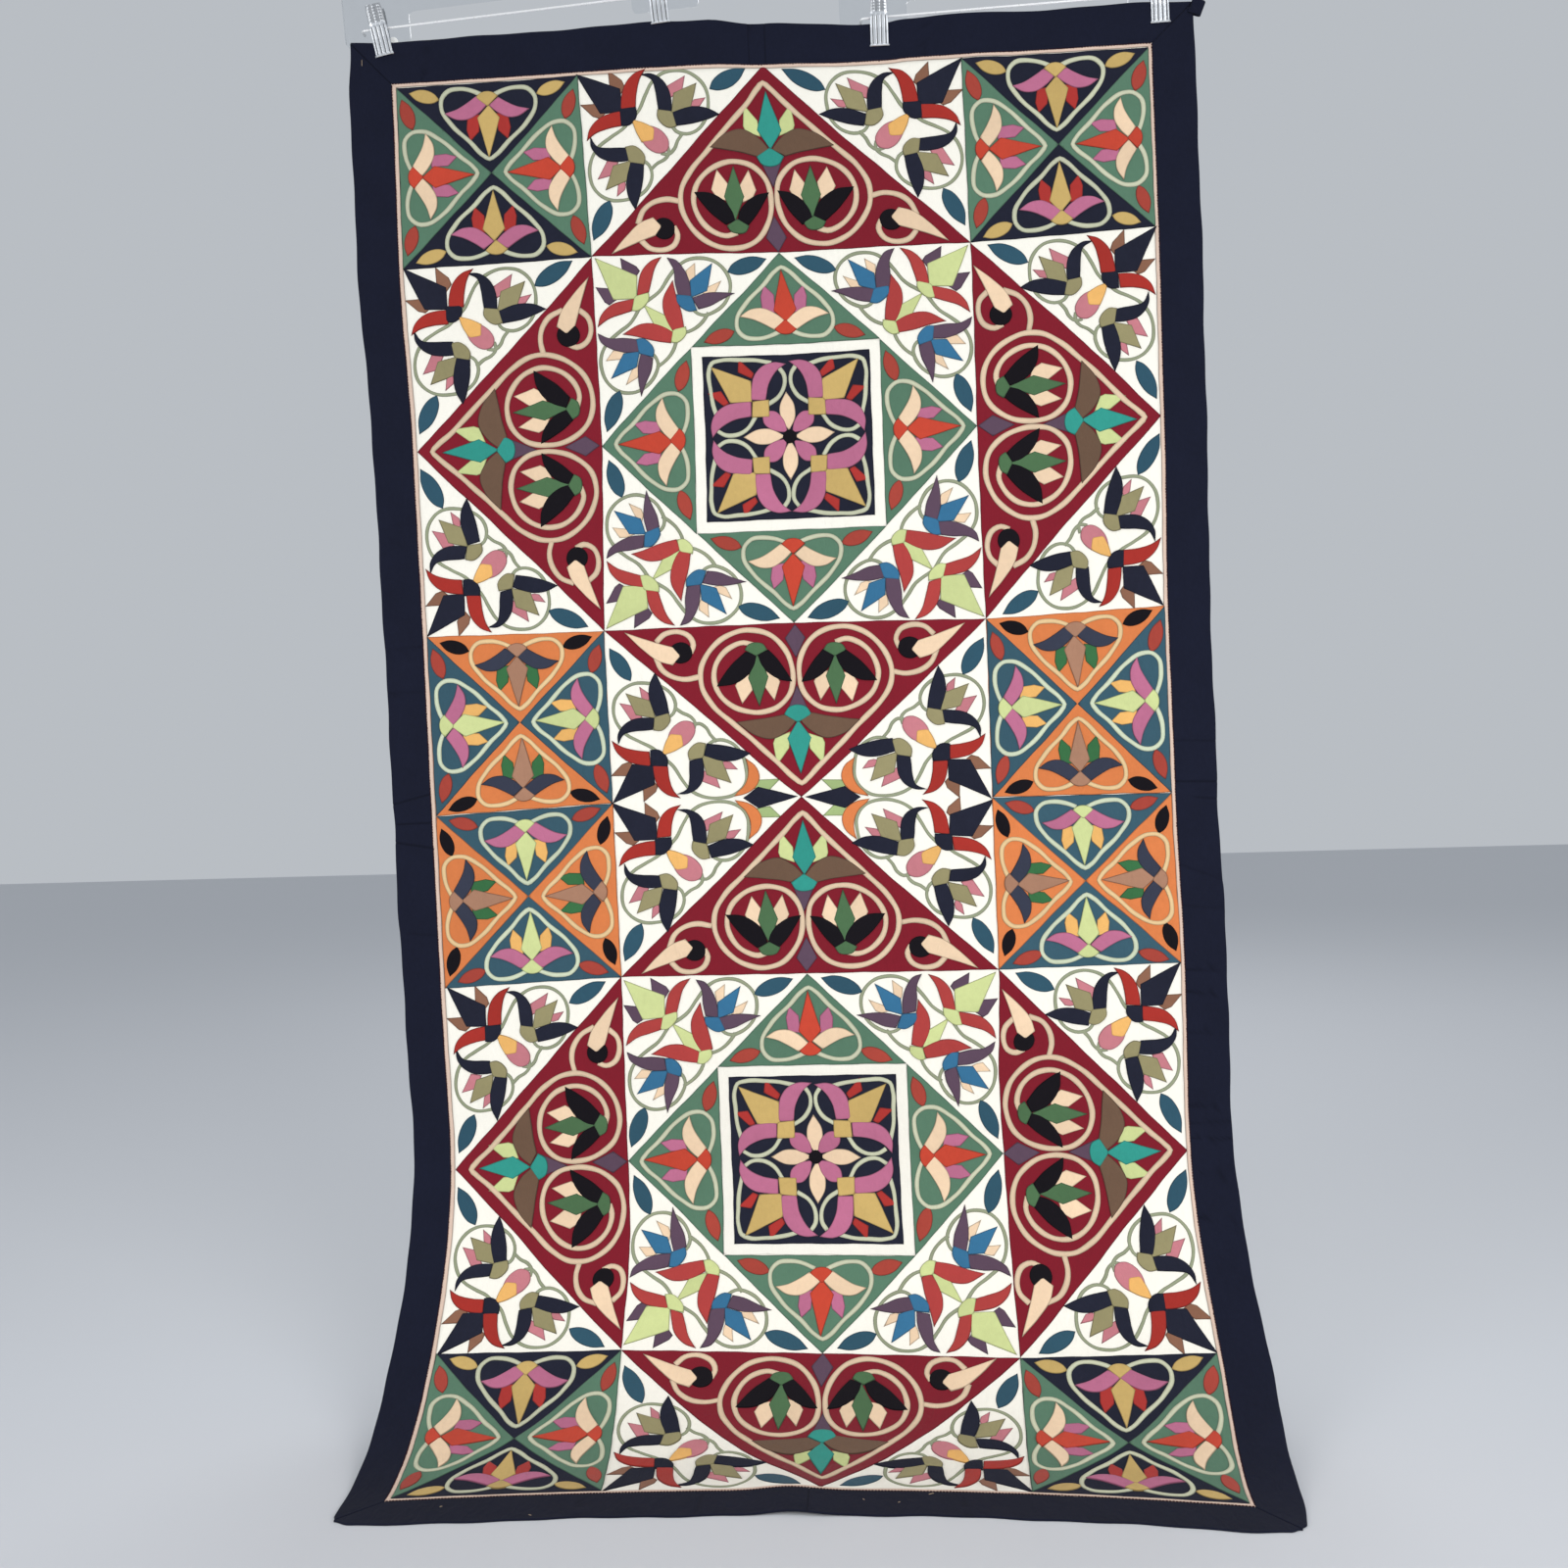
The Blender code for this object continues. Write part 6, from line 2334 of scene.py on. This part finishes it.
@dataclass(frozen=True)
class HangerMaker:
    """Makes the wire bars, the clear arms and the hooks."""

    sizes: HangerSizes
    overhang: float = 0.022
    bend: float = 0.005
    socket: float = 0.0033
    pad_out: float = 0.047
    pad_in: float = 0.034
    pad_below: float = 0.012
    arm_bottom: float = 0.024
    arm_top: float = 0.050
    neck_top: float = 0.058
    neck_half: float = 0.011
    neck_flare: float = 0.006
    fillet: float = 0.007
    fillet_steps: int = 6
    rim: float = 0.003
    rim_slope: float = 0.0006
    rim_depth: float = 0.0005
    shank_in: float = 0.008
    shank_out: float = 0.007
    hook_turn: Point = (-55.0, 205.0)

    def wire(self, name: str, points: list[Vector], radius: float) -> bpy.types.Object:
        """A round wire, as a smooth closed tube.

        Args:
            name: Its name.
            points: The points that its middle line runs through.
            radius: Its radius.

        Returns:
            The wire, not yet placed.
        """
        curve = bpy.data.curves.new(name, "CURVE")
        curve.dimensions = "3D"
        curve.bevel_depth = radius
        curve.bevel_resolution = 4
        curve.use_fill_caps = True
        spline = curve.splines.new("POLY")
        spline.points.add(len(points) - 1)
        for slot, point in zip(spline.points, points):
            slot.co = (*point, 1.0)
        made = bpy.data.objects.new(name, curve)
        bpy.context.scene.collection.objects.link(made)
        activate(made)
        bpy.ops.object.convert(target="MESH")
        made = bpy.context.active_object
        shade_smooth(made, 50)
        return made

    @staticmethod
    def arc(centre: Point, radius: float, start_deg: float, end_deg: float, steps: int) -> list[Point]:
        """Points on an arc.

        Args:
            centre: Its middle.
            radius: Its radius.
            start_deg: The angle that it starts at.
            end_deg: The angle that it ends at.
            steps: How many steps it has.

        Returns:
            The points.
        """
        angles = np.radians(start_deg + (end_deg - start_deg) * np.arange(steps + 1) / steps)
        return [(centre[0] + radius * math.cos(a), centre[1] + radius * math.sin(a)) for a in angles]

    def bar(self, number: int) -> bpy.types.Object:
        """The wire bar with both ends turned back into the arm.

        Args:
            number: Which hanger, from 0.

        Returns:
            The bar, not yet placed.
        """
        end = self.sizes.hangers[number].half_span + self.overhang
        back = self.sizes.arm_front + self.socket - self.sizes.gap
        right = [*self.arc((end - self.bend, self.bend), self.bend, -90, 0, 8), (end, back)]
        line = [(-x, y) for x, y in reversed(right)] + right
        points = [Vector((x, y, 0)) for x, y in line]
        return self.wire(f"bar_{number + 1}_wire", points, self.sizes.bar_radius)

    def hook(self, number: int) -> bpy.types.Object:
        """The hook: a shank, a swing aside and most of a circle.

        Args:
            number: Which hanger, from 0.

        Returns:
            The hook, not yet placed.
        """
        bottom = self.neck_top - self.shank_in + self.sizes.gap
        top = self.neck_top + self.shank_out
        loop = self.arc((0, self.sizes.hook_centre), self.sizes.hook_radius, *self.hook_turn, 40)
        aside, up = loop[0]
        swing = [(aside * ease(step), top + (up - top) * step) for step in (0.2, 0.4, 0.6, 0.8)]
        plane = self.sizes.arm_plane()
        points = [Vector((x, plane, z)) for x, z in [(0, bottom), (0, top), *swing, *loop]]
        return self.wire(f"hook_{number + 1}_wire", points, self.sizes.hook_wire)

    def outline(self, hanger: Hanger) -> list[Point]:
        """The arm's outline with its corners rounded.

        Args:
            hanger: The hanger.

        Returns:
            Points of x and z in its own frame.
        """
        outer, inner = hanger.half_span + self.pad_out, hanger.half_span - self.pad_in
        right = [
            (self.neck_half, self.neck_top),
            (self.neck_half + self.neck_flare, self.arm_top),
            (outer, self.arm_top),
            (outer, -self.pad_below),
            (inner, -self.pad_below),
            (inner, self.arm_bottom),
        ]
        corners = [Vector(point) for point in right + [(-x, z) for x, z in reversed(right)]]
        found: list[Point] = []
        for index, here in enumerate(corners):
            before, after = corners[index - 1] - here, corners[(index + 1) % len(corners)] - here
            reach = min(self.fillet, before.length * 0.45, after.length * 0.45)
            first, last = here + before.normalized() * reach, here + after.normalized() * reach
            for step in range(self.fillet_steps + 1):
                part = step / self.fillet_steps
                point = first * (1 - part) ** 2 + here * 2 * part * (1 - part) + last * part**2
                found.append((point.x, point.y))
        return found

    def arm(self, number: int) -> bpy.types.Object:
        """The clear bar: its outline pushed to its thickness, inset for a rim, with sockets for the wire.

        Args:
            number: Which hanger, from 0.

        Returns:
            The arm, not yet placed.
        """
        hanger = self.sizes.hangers[number]
        outline = self.outline(hanger)
        activate()
        bpy.ops.mesh.primitive_circle_add(vertices=len(outline), radius=1.0, fill_type="NGON")
        made = bpy.context.active_object
        made.name = f"arm_{number + 1}_clear"
        for vertex, (x, z) in zip(made.data.vertices, reversed(outline)):
            vertex.co = (x, self.sizes.arm_front, z)
        bpy.ops.object.mode_set(mode="EDIT")
        bpy.ops.mesh.select_mode(type="FACE")
        bpy.ops.mesh.select_all(action="SELECT")
        move = {"value": (0, self.sizes.arm_thickness, 0)}
        bpy.ops.mesh.extrude_region_move(TRANSFORM_OT_translate=move)
        bpy.ops.mesh.select_all(action="SELECT")
        bpy.ops.mesh.normals_make_consistent(inside=False)
        bpy.ops.mesh.select_all(action="DESELECT")
        bpy.ops.object.mode_set(mode="OBJECT")
        for polygon in made.data.polygons:
            polygon.select = abs(polygon.normal.y) > 0.9
        bpy.ops.object.mode_set(mode="EDIT")
        bpy.ops.mesh.inset(thickness=self.rim, depth=0.0)
        bpy.ops.mesh.inset(thickness=self.rim_slope, depth=-self.rim_depth)
        bpy.ops.object.mode_set(mode="OBJECT")
        turn = Matrix.Rotation(math.pi / 2, 4, "X")
        end, back = hanger.half_span + self.overhang, self.sizes.arm_front + self.socket
        for side in (-1, 1):
            place = Matrix.Translation((side * end, back - 0.004, 0)) @ turn
            self.bore(made, self.sizes.bar_radius + self.sizes.gap, 0.008, place)
        place = Matrix.Translation((0, self.sizes.arm_plane(), self.neck_top))
        self.bore(made, self.sizes.hook_wire + self.sizes.gap, 2 * self.shank_in, place)
        round_edges(made, 0.0007, 50)
        shade_smooth(made, 40)
        return made

    @staticmethod
    def bore(piece: bpy.types.Object, radius: float, length: float, place: Matrix) -> None:
        """Bores a round hole.

        Args:
            piece: What it is bored into.
            radius: Its radius.
            length: The length of the round shape that is cut out.
            place: That shape's place and turn.
        """
        activate()
        bpy.ops.mesh.primitive_cylinder_add(vertices=24, radius=radius, depth=length)
        cutter = bpy.context.active_object
        cutter.data.transform(place)
        modifier = piece.modifiers.new("cut", "BOOLEAN")
        modifier.object = cutter
        modifier.operation = "DIFFERENCE"
        modifier.solver = "EXACT"
        apply_modifiers(piece)
        bpy.data.objects.remove(cutter, do_unlink=True)

    def make(self) -> list[bpy.types.Object]:
        """Makes both hangers."""
        clear = Plastic("clear_bar", (246, 248, 250), 1.0, 0.06, 1.16).material()
        steel = Metal("wire_steel", (250, 250, 250), 0.3, 0.35).material()
        rows = (
            (self.bar, "hanger_bar", "wire_metal", steel),
            (self.hook, "hanger_hook", "wire_metal", steel),
            (self.arm, "hanger_arm", "clear_plastic", clear),
        )
        found = []
        for number in range(len(self.sizes.hangers)):
            for make, node, slot, material in rows:
                made = settle(make(number), self.sizes.frame(number), material)
                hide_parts(f"{node}_{number + 1}")
                found.append(made)
            LOG.info("made hanger %s", number + 1)
        return found


@dataclass(frozen=True)
class Tuck:
    """The folded ear of spare border cloth at the upper right corner."""

    cloth: Cloth
    size: Triple = (0.0145, 0.007, 0.0205)
    turn_deg: float = 22.0
    drop: float = 0.0066
    over: float = 0.0078
    thickness: float = 0.0017
    room: float = 0.0010
    ripple: float = 0.0004
    taper: float = 0.16

    def folded(self, along: float, up: float) -> Triple:
        """A place on the ear.

        Args:
            along: Its share of the way round the fold, from one free edge to the other.
            up: Its share of the height, from the middle.

        Returns:
            Its x, y and z in the ear's own frame.
        """
        width, depth, height = self.size
        fold = depth / 2 - self.room
        reach = (along - 0.5) * (2 * width + math.pi * fold)
        swing = max(-math.pi / 2, min(math.pi / 2, reach / fold))
        run = (width - fold - self.room) / 2
        x = run + fold * math.cos(swing) - max(0.0, abs(reach) - math.pi / 2 * fold)
        y = fold * math.sin(swing) + self.ripple * math.sin(up * 9 + along * 5)
        taper = 1 - self.taper * min(along, 1 - along)
        return max(x, -width / 2 + self.room), y, up * (height - 2 * self.room) * taper

    def make(self) -> bpy.types.Object:
        """Folds the ear: a doubled sheet whose bend stands out to the right."""
        cloth = self.cloth
        s = cloth.width / 2 + cloth.edging + float(cloth.border_width(1, np.array([0.0]))[0])
        t = -(cloth.edging + cloth.border_top)
        corner = Vector(cloth.middle(np.array([s]), np.array([t]))[0])
        activate()
        bpy.ops.mesh.primitive_grid_add(x_subdivisions=22, y_subdivisions=14, size=1.0)
        made = bpy.context.active_object
        made.name = "corner_ear"
        for vertex in made.data.vertices:
            vertex.co = self.folded(vertex.co.x + 0.5, vertex.co.y)
        thicken(made, self.thickness)
        turn = math.radians(self.turn_deg)
        reach = self.size[0] / 2 * math.cos(turn) + self.size[2] / 2 * math.sin(turn)
        place = Matrix.Translation(corner + Vector((reach - self.over, 0, -self.drop)))
        settle(made, place @ Matrix.Rotation(turn, 4, "Y"), Cotton.dyed(Dye.BORDER_NAVY))
        mesh = made.data
        layer = mesh.uv_layers.active
        layer.name = "cloth"
        for loop in mesh.loops:
            point = mesh.vertices[loop.vertex_index].co
            layer.data[loop.index].uv = (point.x + point.y, point.z)
        for label, value in (("edge", 0.0), ("tone", 0.4)):
            values = mesh.attributes.new(label, "FLOAT", "POINT")
            values.data.foreach_set("value", np.full(len(mesh.vertices), value, np.float32))
        mesh.polygons.foreach_set("use_smooth", np.ones(len(mesh.polygons), bool))
        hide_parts("corner_tuck")
        return made


@dataclass(frozen=True)
class Lamp:
    """A square soft light: its place, what it points at, its size, power and spread."""

    name: str
    place: Triple
    target: Triple
    size: float
    power: float
    spread_deg: float


@dataclass(frozen=True)
class Studio:
    """Camera, pale floor and soft light."""

    cloth: Cloth
    place_over_zero: Triple = (0.1303, -2.0558, -0.7729)
    zero_above_pattern: float = 0.0025
    yaw: float = 0.0661
    pitch: float = -0.0426
    roll: float = 0.0315
    focal_px: float = 1725.0
    picture_px: float = 1600.0
    sensor: float = 36.0
    floor_size: float = 14.0
    floor_gap: float = 0.0012
    floor_colour: tuple[int, int, int] = (208, 210, 214)
    sky_colour: tuple[int, int, int] = (196, 201, 207)
    sky_strength: float = 0.88
    lamps: tuple[Lamp, ...] = (
        Lamp("key", (1.9, -2.9, -0.6), (0.1, 0.0, -1.5), 1.8, 30.2, 120),
        Lamp("fill", (-2.4, -2.6, -0.65), (-0.1, 0.0, -1.5), 2.0, 18.4, 120),
        Lamp("top", (0.1, -1.6, 1.4), (0.0, -0.5, -1.78), 1.2, 1.9, 60),
        Lamp("back", (0.4, 2.4, 1.2), (0.0, 0.0, -0.8), 2.0, 28.0, 180),
    )

    def camera(self) -> None:
        """Places the camera as the photograph's stood."""
        sizes = self.cloth.sizes
        data = bpy.data.cameras.new("view")
        data.sensor_width = self.sensor
        data.lens = self.focal_px / self.picture_px * self.sensor
        made = bpy.data.objects.new("view", data)
        bpy.context.scene.collection.objects.link(made)
        x, y, z = self.place_over_zero
        place = (x, y - sizes.arm_plane(), sizes.pattern_top() + self.zero_above_pattern + z)
        turn = Matrix.Rotation(self.yaw, 4, "Z") @ Matrix.Rotation(self.pitch, 4, "X")
        turn = turn @ Matrix.Rotation(self.roll, 4, "Y") @ Matrix.Rotation(math.pi / 2, 4, "X")
        made.matrix_world = Matrix.Translation(place) @ turn
        bpy.context.scene.camera = made

    def floor(self) -> None:
        """A broad pale floor just under the cloth's foot."""
        activate()
        bpy.ops.mesh.primitive_plane_add(size=self.floor_size)
        made = bpy.context.active_object
        made.name = "floor"
        z = self.cloth.sizes.pattern_top() - self.cloth.floor_drop - self.floor_gap
        made.data.transform(Matrix.Translation((0, 0, z)))
        material, board, shader = start_material("pale_floor")
        board.give(shader, Base_Color=linear(self.floor_colour), Roughness=0.9)
        made.data.materials.append(material)

    def light(self) -> None:
        """Soft lights low at both fronts, a small one above, one behind, and a pale sky."""
        for lamp in self.lamps:
            data = bpy.data.lights.new(lamp.name, "AREA")
            data.size = lamp.size
            data.energy = lamp.power
            data.spread = math.radians(lamp.spread_deg)
            made = bpy.data.objects.new(lamp.name, data)
            made.location = lamp.place
            way = Vector(lamp.target) - Vector(lamp.place)
            made.rotation_euler = way.to_track_quat("-Z", "Y").to_euler()
            made.visible_transmission = False
            bpy.context.scene.collection.objects.link(made)
        world = bpy.data.worlds.new("studio")
        world.use_nodes = True
        sky = world.node_tree.nodes["Background"]
        sky.inputs["Color"].default_value = linear(self.sky_colour)
        sky.inputs["Strength"].default_value = self.sky_strength
        bpy.context.scene.world = world
        bpy.context.scene.view_settings.view_transform = "Standard"


STANDS_FOR = {
    "navy_squares": [f"corner_square_{n}" for n in range(1, 5)],
    "orange_squares": ["side_square_1", "side_square_2"],
    "teal_squares": ["side_square_3", "side_square_4"],
    "dark_red_red_triangles": [f"red_triangle_{n}" for n in range(1, 9)],
    "green_green_triangles": [f"green_triangle_{n}" for n in range(1, 9)],
    "cream_centre_frames": ["white_square_1", "white_square_2"],
    "navy_centre_squares": ["centre_square_1", "centre_square_2"],
    "salmon_edging": [f"edging_{side}" for side in ("top", "right", "bottom", "left")],
}


def main() -> None:
    """Builds the hanging, its hangers and the studio, in order."""
    logging.basicConfig(level=logging.INFO)
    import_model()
    sizes = HangerSizes()
    cloth = Cloth(sizes)
    studio = Studio(cloth)
    studio.camera()
    studio.floor()
    studio.light()
    sheets = Sheets(cloth)
    ground = sheets.ground().build("ground_sheet", cloth, Cotton.dyed(Dye.CREAM))
    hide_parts("ground_cloth")
    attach(ground, BODY)
    work = Needlework(cloth)
    Blocks().sew(work)
    sheets.edging(work)
    sheets.joints(work)
    sheets.threads(work)
    for (dye, kind), piece in work.work.items():
        name = f"{dye.name.lower()}_{kind}"
        made = piece.build(name, cloth, Cotton.dyed(dye))
        if name in STANDS_FOR:
            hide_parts(*STANDS_FOR[name])
        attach(made, BODY)
        LOG.info("sewed %s with %s faces", name, len(made.data.polygons))
    flat_size = (cloth.width + 2 * cloth.edging, cloth.height + 2 * cloth.edging)
    for name, piece in sheets.borders().items():
        made = piece.build(name + "_sheet", cloth, Cotton.dyed(Dye.BORDER_NAVY))
        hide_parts(name)
        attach(made, BODY)
        cloth.strip_size(name)
        LOG.info("made %s", name)
    for made in [Tuck(cloth).make(), *ClipMaker(sizes).make(), *HangerMaker(sizes).make()]:
        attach(made, BODY)


if __name__ == "__main__":
    main()
